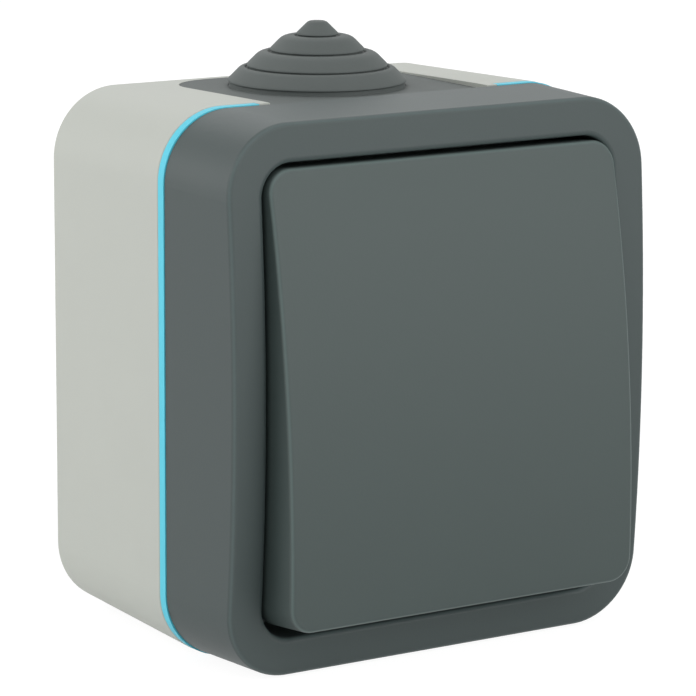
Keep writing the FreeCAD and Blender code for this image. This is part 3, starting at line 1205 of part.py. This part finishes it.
def make_screws(label, pattern, places):
    """Identical screws as one group of separate solids, heads to the front."""
    to_front = FreeCAD.Rotation(FreeCAD.Vector(1, 0, 0), 90)
    solids = []
    for index, (x, depth, z) in enumerate(places):
        copy = pattern.copy()
        turn = FreeCAD.Rotation(FreeCAD.Vector(0, 0, 1), float(sizes.slot_turn + sizes.slot_step * index))
        base = FreeCAD.Vector(float(dim(x)), -float(dim(depth)), float(dim(z)))
        copy.Placement = FreeCAD.Placement(base, to_front.multiply(turn))
        solids.append(copy)
    group = doc.addObject("Part::Feature", label)
    group.Label = label
    group.Shape = Part.makeCompound(solids) if len(solids) > 1 else solids[0]
    parts.append(group)
    return group


def make_all_screws():
    head = float(sizes.screw_head_radius)
    head_height = float(sizes.screw_head_height)
    shank = float(sizes.screw_radius)
    seat = tray_front - sizes.sink_depth
    cover_length = float(seat - sizes.box_depth + sizes.screw_reach)
    cover_places = [(cover_screw_x * sign_x, seat, cover_screw_z * sign_z)
                    for sign_x, sign_z in POST_SIGNS]
    point = float(sizes.screw_point)
    make_screws("cover_screws", screw_shape(head, head_height, shank, cover_length, point), cover_places)
    plate_length = float(sizes.plate_thickness + sizes.screw_reach)
    plate_places = [(plate_screw_x * sign_x, plate_front, plate_screw_z * sign_z)
                    for sign_x, sign_z in PLATE_SIGNS]
    make_screws("mechanism_screws", screw_shape(head, head_height, shank, plate_length, point),
                plate_places)
    clamp_length = float(sizes.clamp_depth / 2 - sizes.clamp_screw_end)
    clamp = screw_shape(float(sizes.clamp_head_radius), float(sizes.clamp_head_height),
                        float(sizes.clamp_screw_radius), clamp_length, float(sizes.clamp_screw_point))
    make_screws("terminal_screws", clamp, [(-pocket_x, clamp_front, sizes.pocket_z),
                                           (pocket_x, clamp_front, sizes.pocket_z)])
    make_screws("earth_screw", clamp, [(0.0, sizes.box_floor + sizes.earth_depth, -sizes.earth_z)])


make_rear_box()
make_cable_grommet()
make_cover_gasket()
make_front_cover()
make_rocker_key()
make_switch_lever()
make_plunger()
make_lever_spring()
make_mechanism_plate()
make_collar_gasket()
make_mechanism_base()
make_common_contact()
make_switched_contact()
make_contact_bridge()
make_contact_tips()
make_terminal_clamp("terminal_clamp_common", -pocket_x, sizes.pocket_z, strip_front,
                    sizes.clamp_width, sizes.clamp_height, sizes.clamp_depth)
make_terminal_clamp("terminal_clamp_load", pocket_x, sizes.pocket_z, strip_front,
                    sizes.clamp_width, sizes.clamp_height, sizes.clamp_depth)
make_terminal_clamp("earth_terminal", dim(0.0), -sizes.earth_z, sizes.box_floor,
                    sizes.earth_width, sizes.earth_height, sizes.earth_depth)
make_all_screws()

doc.recompute()
for item in doc.Objects:
    if "Invalid" in item.State or "Error" in item.State:
        raise RuntimeError("object failed: %s %s" % (item.Name, item.State))
for item in parts:
    if item.Shape.isNull() or not item.Shape.isValid():
        raise RuntimeError("bad shape: " + item.Label)

os.makedirs("parts", exist_ok=True)
for item in parts:
    item.Shape.exportStep(os.path.join("parts", item.Label + ".step"))
    print(item.Label, len(item.Shape.Solids), round(item.Shape.Volume, 2))
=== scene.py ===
import json
import math

import bmesh
import bpy
from mathutils import Matrix, Vector


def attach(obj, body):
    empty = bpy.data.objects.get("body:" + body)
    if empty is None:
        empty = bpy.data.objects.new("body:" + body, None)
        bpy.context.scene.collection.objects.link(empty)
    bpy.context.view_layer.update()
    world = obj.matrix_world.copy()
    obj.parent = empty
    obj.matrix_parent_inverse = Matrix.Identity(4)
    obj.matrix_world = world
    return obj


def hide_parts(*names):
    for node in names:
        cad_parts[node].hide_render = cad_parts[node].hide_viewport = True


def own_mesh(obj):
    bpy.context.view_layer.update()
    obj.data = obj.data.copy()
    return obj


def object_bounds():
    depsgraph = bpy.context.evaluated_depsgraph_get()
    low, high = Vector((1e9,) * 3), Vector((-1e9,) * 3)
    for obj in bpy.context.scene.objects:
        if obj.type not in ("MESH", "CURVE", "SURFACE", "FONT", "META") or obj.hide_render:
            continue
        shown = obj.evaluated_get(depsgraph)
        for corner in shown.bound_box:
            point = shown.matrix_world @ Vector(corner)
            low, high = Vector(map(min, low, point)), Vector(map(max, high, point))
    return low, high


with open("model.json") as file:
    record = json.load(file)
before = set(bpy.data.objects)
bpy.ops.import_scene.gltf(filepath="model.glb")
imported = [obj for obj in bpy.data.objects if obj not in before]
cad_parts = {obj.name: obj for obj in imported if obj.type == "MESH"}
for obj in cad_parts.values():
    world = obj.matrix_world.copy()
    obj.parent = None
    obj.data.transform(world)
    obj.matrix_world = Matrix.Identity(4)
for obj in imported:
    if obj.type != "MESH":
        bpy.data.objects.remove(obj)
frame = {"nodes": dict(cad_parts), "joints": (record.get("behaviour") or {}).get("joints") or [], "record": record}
cad_box = [list(corner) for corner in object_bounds()]

MM = 0.001

# the photograph's camera, worked out from the object's outline
PHOTO_SIZE = 696
FOCAL_PIXELS = 3767.0
AXIS_PIXEL = (368.6, 361.6)
CAMERA_TURN = math.radians(33.27)
CAMERA_LIFT = math.radians(11.68)
CAMERA_ROLL = math.radians(0.326)
CAMERA_DISTANCE = 502.34 * MM
CAMERA_TARGET = Vector((0.0, -28.0, 0.0)) * MM
SENSOR = 36.0

# the stepped cable entry, in mm: its axis in front of the wall, the plate's top and the rubber's thickness
ENTRY_DEPTH = 15.0
ENTRY_TOP = 35.641
ENTRY_SKIN = 1.1
# foot radius, top of the upright rim, radius and height of the shoulder, for each step and the tip
ENTRY_STEPS = ((12.0, 36.50, 10.30, 38.23), (9.45, 38.56, 7.72, 40.31), (6.33, 40.65, 4.59, 42.43),
               (2.82, 42.72, 1.18, 44.34))
ENTRY_SHOULDER = 2.0
ENTRY_RIM = 0.18
ENTRY_RIM_ROUND = 0.35
ENTRY_UNDERCUT = 0.26
ENTRY_CREASE = 0.08
# how far the wall goes down into the plate, and each tread dips where the next step rises from it
ENTRY_SEAT = 0.9
ENTRY_DIP = 0.24
# how far outside its foot the faces of the solid cone are taken out of the plate
ENTRY_MARGIN = 0.01
# the ring that the section is swept round, and how close points of the cone and of the plate become one
PIVOT_RING = 0.001
MERGE_REACH = 0.005
SAME_POINT = 0.001
ENTRY_CORNER = math.radians(32.0)

SPRING_TURNS = 6.5
SPRING_RADIUS = 1.3 * MM
SPRING_WIRE = 0.36 * MM
# 0 winds the spring evenly, and 1 lets its end turns lie in one plane
SPRING_END_CLOSING = 0.62
SPRING_CORNER = math.radians(40.0)

# sizes of the features in the moulded and the drawn surfaces
CLOUD_SIZE = 9.0 * MM
WAVE_SIZE = 4.0 * MM
DRAWN_LINE = 0.9 * MM
TARNISH_SIZE = 2.6 * MM
PAPER_FLECK = 50.0 * MM

WHITE = (1.0, 1.0, 1.0)
FLOOR_REACH = 6.0
PAPER_GLOW = 1.15
PAPER_GLOW_SHARE = 0.8
AMBIENT = 0.365
# name, azimuth from straight in front to the right, elevation, distance and edge in m, power in W
LAMPS = (
    ("front_right_box", 30.0, 20.0, 1.3, 0.9, 4.5),
    ("front_left_box", -40.0, 15.0, 1.3, 0.9, 0.4),
    ("low_front_box", 10.0, 4.0, 1.3, 0.6, 2.9),
    ("high_front_box", 0.0, 45.0, 1.3, 0.9, 2.5),
    ("high_back_box", 160.0, 50.0, 1.2, 0.9, 2.75),
    ("back_left_box", -125.0, 8.0, 1.2, 0.8, 4.5),
    ("high_left_box", -110.0, 35.0, 1.2, 0.8, 3.6),
)


class Value:
    """A node socket that takes part in ordinary arithmetic."""

    def __init__(self, owner, socket):
        self.owner = owner
        self.socket = socket

    def combine(self, operation, *others, swap=False):
        terms = [self, *others]
        if swap:
            terms.reverse()
        return self.owner.add("ShaderNodeMath", {"operation": operation}, terms)

    def __add__(self, other):
        return self.combine("ADD", other)

    def __radd__(self, other):
        return self.combine("ADD", other)

    def __sub__(self, other):
        return self.combine("SUBTRACT", other)

    def __rsub__(self, other):
        return self.combine("SUBTRACT", other, swap=True)

    def __mul__(self, other):
        return self.combine("MULTIPLY", other)

    def __truediv__(self, other):
        return self.combine("DIVIDE", other)

    def clamp(self, low, high):
        return self.combine("MAXIMUM", low).combine("MINIMUM", high)


class Nodes:
    """A node tree with one method that adds any node."""

    def add(self, kind, settings=None, inputs=(), output=0):
        node = self.tree.nodes.new(kind)
        for key, setting in (settings or {}).items():
            setattr(node, key, setting)
        pairs = inputs.items() if isinstance(inputs, dict) else enumerate(inputs)
        for key, value in pairs:
            if isinstance(value, Value):
                self.tree.links.new(value.socket, node.inputs[key])
            else:
                node.inputs[key].default_value = value
        return Value(self, node.outputs[output])


class Shader(Nodes):
    """The nodes of one material, or of the world."""

    def __init__(self, name, kind="Material"):
        self.owner = bpy.data.worlds.new(name) if kind == "World" else bpy.data.materials.new(name)
        self.owner.use_nodes = True
        self.tree = self.owner.node_tree
        self.tree.nodes.clear()
        self.output = self.tree.nodes.new("ShaderNodeOutput" + kind)

    def finish(self, surface):
        self.tree.links.new(surface.socket, self.output.inputs["Surface"])
        return self.owner


class Shape(Nodes):
    """A geometry tree with named sizes, run once to give a plain mesh."""

    def __init__(self, name):
        self.tree = bpy.data.node_groups.new(name, "GeometryNodeTree")
        self.entry = self.tree.nodes.new("NodeGroupInput")
        self.values = {}
        self.tree.interface.new_socket("Geometry", in_out="INPUT", socket_type="NodeSocketGeometry")
        self.start = Value(self, self.entry.outputs["Geometry"])

    def size(self, name, value, kind="NodeSocketFloat"):
        item = self.tree.interface.new_socket(name, in_out="INPUT", socket_type=kind)
        self.values[item.identifier] = value
        return Value(self, self.entry.outputs[name])

    def make(self, name, base, geometry, material):
        """Ends the tree, runs it on a base mesh, and returns the result as an object at the origin."""
        finish = self.size("Finish", material, "NodeSocketMaterial")
        real = self.add("GeometryNodeRealizeInstances", {}, {"Geometry": geometry})
        done = self.add("GeometryNodeSetMaterial", {}, {"Geometry": real, "Material": finish})
        self.tree.interface.new_socket("Geometry", in_out="OUTPUT", socket_type="NodeSocketGeometry")
        output = self.tree.nodes.new("NodeGroupOutput")
        self.tree.links.new(done.socket, output.inputs["Geometry"])
        source = bpy.data.objects.new(name + "_base", base)
        bpy.context.scene.collection.objects.link(source)
        modifier = source.modifiers.new("shape", "NODES")
        modifier.node_group = self.tree
        for identifier, value in self.values.items():
            modifier[identifier] = value
        depsgraph = bpy.context.evaluated_depsgraph_get()
        mesh = bpy.data.meshes.new_from_object(source.evaluated_get(depsgraph))
        source.modifiers.remove(modifier)
        bpy.data.objects.remove(source)
        return add_object(name, mesh)


def add_object(name, mesh):
    item = bpy.data.objects.new(name, mesh)
    bpy.context.scene.collection.objects.link(item)
    return item


def rgba(colour):
    return (*colour, 1.0)


def place_on_piece(shader, stretch=(1.0, 1.0, 1.0)):
    """Object coordinates, stretched where a pattern runs one way."""
    coordinates = shader.add("ShaderNodeTexCoord", output="Object")
    return shader.add("ShaderNodeMapping", {}, {"Vector": coordinates, "Scale": stretch})


def noise(shader, place, size, detail=3.0, roughness=0.5):
    """Even noise from 0 to 1, with features of the given size in metres."""
    return shader.add("ShaderNodeTexNoise", {"noise_dimensions": "3D"},
                      {"Vector": place, "Scale": 1.0 / size, "Detail": detail, "Roughness": roughness}, "Fac")


def tint(shader, amount, low, high):
    return shader.add("ShaderNodeMix", {"data_type": "RGBA", "clamp_factor": True},
                      {"Factor": amount, "A": rgba(low), "B": rgba(high)}, "Result")


def shade(colour, factor):
    return tuple(min(1.0, channel * factor) for channel in colour)


# mask of the painted highlight that moulded_plastic puts on front edge roundings
def rounded_edge(shader):
    """Near 1 on the roundings between front and sides, and 0 on faces that look to the front or the side."""
    normal = shader.add("ShaderNodeTexCoord", output="Normal")
    front = shader.add("ShaderNodeVectorMath", {"operation": "DOT_PRODUCT"},
                       (normal, (0.0, -1.0, 0.0)), "Value")
    share = front * front
    slant = share * (1.0 - share) * 4.0
    return slant * slant


def moulded_plastic(name, colour, grain=0.32 * MM, depth=0.012 * MM, roughness=0.5, mottle=0.03, edge=1.0):
    """Spark-eroded mould grain: rounded pits and faint cloudiness, with a painted highlight that makes the
    roundings at the front edges lighter by the factor edge.
    """
    shader = Shader(name)
    place = place_on_piece(shader)
    cloud = noise(shader, place, CLOUD_SIZE, 2.0)
    fine = noise(shader, place, grain * 0.55, 2.0)
    pits = shader.add("ShaderNodeTexVoronoi", {"feature": "SMOOTH_F1", "distance": "EUCLIDEAN"},
                      {"Vector": place, "Scale": 1.0 / grain, "Smoothness": 0.6}, "Distance")
    relief = pits * 0.7 + fine * 0.5
    amount = (cloud * 0.6 + fine * 0.4).clamp(0.0, 1.0)
    base = tint(shader, amount, shade(colour, 1.0 - mottle), shade(colour, 1.0 + mottle))
    # painted highlight: the roundings between front and sides are made lighter by the factor edge, standing in for
    # light caught on the edge
    if edge > 1.0:
        painted_highlight = rgba(shade(colour, edge))
        base = shader.add("ShaderNodeMix", {"data_type": "RGBA"},
                          {"Factor": rounded_edge(shader), "A": base, "B": painted_highlight}, "Result")
    gloss = (roughness - 0.05) + fine * 0.07 + cloud * 0.04
    normal = shader.add("ShaderNodeBump", {}, {"Strength": 0.55, "Distance": depth, "Height": relief})
    surface = shader.add("ShaderNodeBsdfPrincipled", {},
                         {"Base Color": base, "Roughness": gloss, "Normal": normal, "IOR": 1.49,
                          "Specular IOR Level": 0.42})
    return shader.finish(surface)


def moulded_rubber(name, colour, grain=0.5 * MM, depth=0.02 * MM, roughness=0.62, sheen=0.12,
                   gloss_level=0.35):
    """Soft rubber: broad waviness, fine tooth and a dusty sheen."""
    shader = Shader(name)
    place = place_on_piece(shader)
    wave = noise(shader, place, WAVE_SIZE, 2.0)
    tooth = noise(shader, place, grain, 4.0, 0.6)
    base = tint(shader, (wave * 0.7 + tooth * 0.3).clamp(0.0, 1.0), shade(colour, 0.94), shade(colour, 1.06))
    gloss = (roughness - 0.06) + tooth * 0.1
    relief = tooth + wave * 0.8
    normal = shader.add("ShaderNodeBump", {}, {"Strength": 0.6, "Distance": depth, "Height": relief})
    surface = shader.add("ShaderNodeBsdfPrincipled", {},
                         {"Base Color": base, "Roughness": gloss, "Normal": normal,
                          "Specular IOR Level": gloss_level, "Sheen Weight": sheen, "Sheen Roughness": 0.5})
    return shader.finish(surface)


def worked_metal(name, colour, stretch=(1.0, 1.0, 14.0), roughness=0.3, depth=0.006 * MM, tarnish=0.12):
    """Drawn or stamped metal: fine lines along one way, with a faint tarnish."""
    shader = Shader(name)
    lines = noise(shader, place_on_piece(shader, stretch), DRAWN_LINE, 4.0, 0.6)
    patches = noise(shader, place_on_piece(shader), TARNISH_SIZE, 3.0)
    dull = ((patches - 0.45) * 3.0).clamp(0.0, 1.0)
    base = tint(shader, dull, colour, shade(colour, 1.0 - tarnish))
    gloss = roughness + lines * 0.12 + dull * 0.1
    normal = shader.add("ShaderNodeBump", {}, {"Strength": 0.5, "Distance": depth, "Height": lines})
    surface = shader.add("ShaderNodeBsdfPrincipled", {},
                         {"Base Color": base, "Metallic": 1.0, "Roughness": gloss, "Normal": normal})
    return shader.finish(surface)


FINISHES = {
    "housing_grey": moulded_plastic("housing_grey", (0.527, 0.547, 0.502), roughness=0.52),
    # cover_dark and rocker_dark carry a painted highlight on their front edge roundings (edge above 1)
    "cover_dark": moulded_plastic("cover_dark", (0.051, 0.069, 0.068), roughness=0.5, mottle=0.05,
                                  edge=1.7),
    "rocker_dark": moulded_plastic("rocker_dark", (0.051, 0.071, 0.068), roughness=0.48, mottle=0.05,
                                   edge=1.95),
    "grommet_rubber": moulded_rubber("grommet_rubber", (0.1225, 0.138, 0.1345), sheen=0.0, gloss_level=0.15),
    "cover_seal": moulded_rubber("cover_seal", (0.112, 0.665, 0.84), grain=0.3 * MM, roughness=0.55,
                                 sheen=0.05),
    "inner_seal": moulded_rubber("inner_seal", (0.022, 0.022, 0.023)),
    "mechanism_white": moulded_plastic("mechanism_white", (0.71, 0.70, 0.66), grain=0.5 * MM, roughness=0.42),
    "lever_plastic": moulded_plastic("lever_plastic", (0.62, 0.61, 0.55), grain=0.6 * MM, roughness=0.38),
    "brass": worked_metal("brass", (0.80, 0.58, 0.24)),
    "contact_silver": worked_metal("contact_silver", (0.82, 0.81, 0.78), (1.0, 1.0, 1.0), 0.22),
    "steel": worked_metal("steel", (0.60, 0.61, 0.63), (1.0, 6.0, 1.0), 0.28),
    "spring_steel": worked_metal("spring_steel", (0.45, 0.45, 0.46), (1.0, 8.0, 1.0), 0.25),
}


def entry_profile():
    """Half section of the hollow stepped cone, from the tip's middle over the outside and back up inside."""
    points = [(0.0, ENTRY_STEPS[-1][3], 0.0)]
    tip = len(ENTRY_STEPS) - 1
    for index in reversed(range(len(ENTRY_STEPS))):
        foot, rim, shoulder, top = ENTRY_STEPS[index]
        points.append((shoulder, top, ENTRY_SHOULDER if index < tip else ENTRY_SHOULDER / 2))
        points.append((foot, rim, ENTRY_RIM_ROUND))
        points.append((foot, rim - ENTRY_RIM, ENTRY_CREASE))
        points.append((foot - ENTRY_UNDERCUT, rim - ENTRY_RIM - ENTRY_UNDERCUT / 2, ENTRY_CREASE))
        bottom = ENTRY_STEPS[index - 1][3] - ENTRY_DIP if index else ENTRY_TOP - ENTRY_DIP / 4
        points.append((foot - ENTRY_UNDERCUT, bottom, ENTRY_CREASE))
        if index:
            points.append((foot + ENTRY_CREASE, bottom, ENTRY_CREASE))
            points.append((foot + ENTRY_CREASE + ENTRY_DIP, bottom + ENTRY_DIP, ENTRY_RIM_ROUND))
    low = ENTRY_TOP - ENTRY_SEAT
    outer = ENTRY_STEPS[0][0]
    points += [(outer, bottom, 0.0), (outer, low, 0.0), (outer - ENTRY_SKIN, low, 0.0)]
    for index, (foot, rim, shoulder, top) in enumerate(ENTRY_STEPS[:-1]):
        points.append((foot - ENTRY_SKIN, rim - ENTRY_SKIN / 2, ENTRY_RIM_ROUND))
        points.append((shoulder - ENTRY_SKIN / 2, top - ENTRY_SKIN, ENTRY_RIM_ROUND))
        points.append((ENTRY_STEPS[index + 1][0] - ENTRY_SKIN, top - ENTRY_SKIN, ENTRY_RIM_ROUND / 2))
    points.append((0.0, ENTRY_STEPS[-2][3] - ENTRY_SKIN, 0.0))
    return points


def turn_stepped_cone(material):
    """Sweeps the half section round a ring too small to see, which turns it about the cone's axis."""
    points = entry_profile()
    base = bpy.data.meshes.new("entry_profile")
    # a profile's second coordinate points down once it is swept round a ring in the XY plane
    base.from_pydata([(across * MM, -up * MM, 0.0) for across, up, _ in points],
                     [(index, index + 1) for index in range(len(points) - 1)], [])
    rounding = base.attributes.new("rounding", "FLOAT", "POINT")
    rounding.data.foreach_set("value", [radius * MM for _, _, radius in points])
    shape = Shape("stepped_cone")
    around = shape.size("Parts Around", 112, "NodeSocketInt")
    arc = shape.size("Parts Per Rounding", 4, "NodeSocketInt")
    soften = shape.size("Rounding Share", 1.0)
    radius = shape.add("GeometryNodeInputNamedAttribute", {"data_type": "FLOAT"}, {"Name": "rounding"})
    radius = radius * soften
    line = shape.add("GeometryNodeMeshToCurve", {}, {"Mesh": shape.start})
    line = shape.add("GeometryNodeFilletCurve", {"mode": "POLY"},
                     {"Curve": line, "Count": arc, "Radius": radius, "Limit Radius": True})
    ring = shape.add("GeometryNodeCurvePrimitiveCircle", {"mode": "RADIUS"},
                     {"Resolution": around, "Radius": PIVOT_RING * MM})
    ring = shape.add("GeometryNodeSetCurveNormal", {"mode": "Z_UP"}, {"Curve": ring})
    turned = shape.add("GeometryNodeCurveToMesh", {}, {"Curve": ring, "Profile Curve": line})
    closed = shape.add("GeometryNodeMergeByDistance", {}, {"Geometry": turned, "Distance": MERGE_REACH * MM})
    smooth = shape.add("GeometryNodeSetShadeSmooth", {}, {"Geometry": closed})
    moved = shape.add("GeometryNodeTransform", {},
                      {"Geometry": smooth, "Translation": (0.0, -ENTRY_DEPTH * MM, 0.0)})
    return shape.make("cable_entry", base, moved, material)


def make_cable_entry():
    """The rubber plate, cut out of the solid, with a rounder stepped cone set into it."""
    cone = turn_stepped_cone(FINISHES["grommet_rubber"])
    shell = bmesh.new()
    shell.from_mesh(frame["nodes"]["cable_grommet"].data)
    bmesh.ops.remove_doubles(shell, verts=shell.verts, dist=SAME_POINT * MM)
    reach = (ENTRY_STEPS[0][0] + ENTRY_MARGIN) * MM
    axis_depth = ENTRY_DEPTH * MM
    inside = [face for face in shell.faces
              if all(math.hypot(vert.co.x, vert.co.y + axis_depth) < reach for vert in face.verts)]
    bmesh.ops.delete(shell, geom=inside, context="FACES")
    rims = [edge for edge in shell.edges if edge.is_boundary]
    bmesh.ops.bridge_loops(shell, edges=rims)
    for face in shell.faces:
        face.material_index = 0
    shell.from_mesh(cone.data)
    bmesh.ops.recalc_face_normals(shell, faces=shell.faces)
    shell.to_mesh(cone.data)
    shell.free()
    # the plate's stored normals don't hold once its vertices are merged
    cone.data.attributes.remove(cone.data.attributes["custom_normal"])
    cone.data.set_sharp_from_angle(angle=ENTRY_CORNER)
    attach(cone, "housing")
    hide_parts("cable_grommet")


def wind_spring(name, length, seat, way, material):
    """A wire wound from its seat against the given direction, with close turns at both ends."""
    shape = Shape("wound_spring")
    turns = shape.size("Turns", SPRING_TURNS)
    parts = shape.size("Parts Per Turn", 24, "NodeSocketInt")
    radius = shape.size("Mean Radius", SPRING_RADIUS)
    wire = shape.size("Wire", SPRING_WIRE)
    rise = shape.size("Rise", length - SPRING_WIRE)
    closing = shape.size("End Closing", SPRING_END_CLOSING)
    line = shape.add("GeometryNodeCurvePrimitiveLine", {}, {"End": (0.0, 0.0, 1.0)})
    line = shape.add("GeometryNodeResampleCurve", {}, {"Curve": line, "Count": turns * parts})
    along = shape.add("GeometryNodeSplineParameter")
    angle = along * turns * math.tau
    height = (along - (along * math.tau).combine("SINE") * closing / math.tau) * rise + wire / 2
    point = shape.add("ShaderNodeCombineXYZ", {},
                      (angle.combine("COSINE") * radius, angle.combine("SINE") * radius, height))
    line = shape.add("GeometryNodeSetPosition", {}, {"Geometry": line, "Position": point})
    ring = shape.add("GeometryNodeCurvePrimitiveCircle", {"mode": "RADIUS"},
                     {"Resolution": 12, "Radius": wire / 2})
    wound = shape.add("GeometryNodeCurveToMesh", {},
                      {"Curve": line, "Profile Curve": ring, "Fill Caps": True})
    smooth = shape.add("GeometryNodeSetShadeSmooth", {}, {"Geometry": wound})
    turned = shape.add("GeometryNodeTransform", {}, {
        "Geometry": smooth, "Translation": seat, "Rotation": (-way).to_track_quat("Z", "Y").to_euler()})
    return shape.make(name, bpy.data.meshes.new("spring_start"), turned, material)


def make_plunger_spring():
    """Takes the place and length of the solid spring, and is attached to the rocker."""
    joints = {joint["name"]: joint for joint in frame["joints"]}
    way = Vector(joints["plunger_slide"]["axis"]).normalized()
    pivot = Vector(joints["rocker_tilt"]["pos_m"])
    solid = frame["nodes"]["lever_spring"]
    reach = [(solid.matrix_world @ vert.co - pivot).dot(way) for vert in solid.data.vertices]
    length = max(reach) - min(reach)
    seat = pivot + way * max(reach)
    spring = wind_spring("plunger_spring", length, seat, way, FINISHES["spring_steel"])
    spring.data.set_sharp_from_angle(angle=SPRING_CORNER)
    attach(spring, "rocker")
    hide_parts("lever_spring")
    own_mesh(spring)


def finish_carried_nodes():
    """Gives every solid that stays in view its own procedural finish."""
    slots = {part["node"]: part["material_slot"] for part in frame["record"]["subparts"]}
    for name, node in frame["nodes"].items():
        for slot in node.material_slots:
            slot.material = FINISHES[slots[name]]


def ray_is_seen(shader):
    """1 for camera, glossy and transmission rays, and 0 for the rays that light the object."""
    path = [shader.add("ShaderNodeLightPath", output=name)
            for name in ("Is Camera Ray", "Is Glossy Ray", "Is Transmission Ray")]
    return (path[0] + path[1] + path[2]).clamp(0.0, 1.0)


def make_floor():
    low = cad_box[0][2]
    mesh = bpy.data.meshes.new("floor")
    corners = [(x * FLOOR_REACH, y * FLOOR_REACH, low) for x, y in ((-1, -1), (1, -1), (1, 1), (-1, 1))]
    mesh.from_pydata(corners, [], [(0, 1, 2, 3)])
    floor = add_object("floor", mesh)
    shader = Shader("floor_paper")
    place = place_on_piece(shader)
    tone = tint(shader, noise(shader, place, PAPER_FLECK, 3.0), (0.90, 0.90, 0.90), (0.92, 0.92, 0.92))
    paper = shader.add("ShaderNodeBsdfDiffuse", {}, {"Color": tone, "Roughness": 0.8})
    # seen directly or in a reflection, the paper is close to white and keeps a soft shadow
    glow = shader.add("ShaderNodeEmission", {}, {"Color": rgba(WHITE), "Strength": PAPER_GLOW})
    seen = ray_is_seen(shader) * PAPER_GLOW_SHARE
    mesh.materials.append(shader.finish(shader.add("ShaderNodeMixShader", {}, {0: seen, 1: paper, 2: glow})))


def make_world():
    shader = Shader("studio", "World")
    soft = shader.add("ShaderNodeBackground", {}, {"Color": rgba(WHITE), "Strength": AMBIENT})
    seen = shader.add("ShaderNodeBackground", {}, {"Color": rgba(WHITE), "Strength": 1.0})
    mix = shader.add("ShaderNodeMixShader", {}, {0: ray_is_seen(shader), 1: soft, 2: seen})
    bpy.context.scene.world = shader.finish(mix)


def add_lamp(name, azimuth, elevation, distance, size, power):
    """A square soft box, turned to the middle of the object."""
    turn, lift = math.radians(azimuth), math.radians(elevation)
    way = Vector((math.sin(turn) * math.cos(lift), -math.cos(turn) * math.cos(lift), math.sin(lift)))
    data = bpy.data.lights.new(name, "AREA")
    data.shape = "SQUARE"
    data.size = size
    data.energy = power
    lamp = bpy.data.objects.new(name, data)
    lamp.location = CAMERA_TARGET + way * distance
    lamp.rotation_mode = "QUATERNION"
    lamp.rotation_quaternion = (-way).to_track_quat("-Z", "Y")
    bpy.context.scene.collection.objects.link(lamp)


def make_lights():
    for lamp in LAMPS:
        add_lamp(*lamp)


def make_camera():
    back = Vector((-math.sin(CAMERA_TURN) * math.cos(CAMERA_LIFT),
                   -math.cos(CAMERA_TURN) * math.cos(CAMERA_LIFT), math.sin(CAMERA_LIFT)))
    right = (-back).cross(Vector((0.0, 0.0, 1.0))).normalized()
    up = right.cross(-back)
    spin = Matrix.Rotation(CAMERA_ROLL, 3, back)
    right, up = spin @ right, spin @ up
    # the photograph's middle is a little off the fitted axis, so the camera looks that way
    middle = PHOTO_SIZE / 2
    across, down = middle - AXIS_PIXEL[0], middle - AXIS_PIXEL[1]
    ahead = (-back * FOCAL_PIXELS + right * across - up * down).normalized()
    right = (right - ahead * right.dot(ahead)).normalized()
    up = right.cross(ahead)
    data = bpy.data.cameras.new("photo_camera")
    data.sensor_width = SENSOR
    data.lens = FOCAL_PIXELS / PHOTO_SIZE * SENSOR
    camera = bpy.data.objects.new("photo_camera", data)
    camera.rotation_mode = "QUATERNION"
    camera.rotation_quaternion = Matrix((right, up, -ahead)).transposed().to_quaternion()
    camera.location = CAMERA_TARGET + back * CAMERA_DISTANCE
    bpy.context.scene.collection.objects.link(camera)
    bpy.context.scene.camera = camera


finish_carried_nodes()
make_cable_entry()
make_plunger_spring()
make_floor()
make_world()
make_lights()
make_camera()
bpy.context.scene.view_settings.view_transform = "Standard"
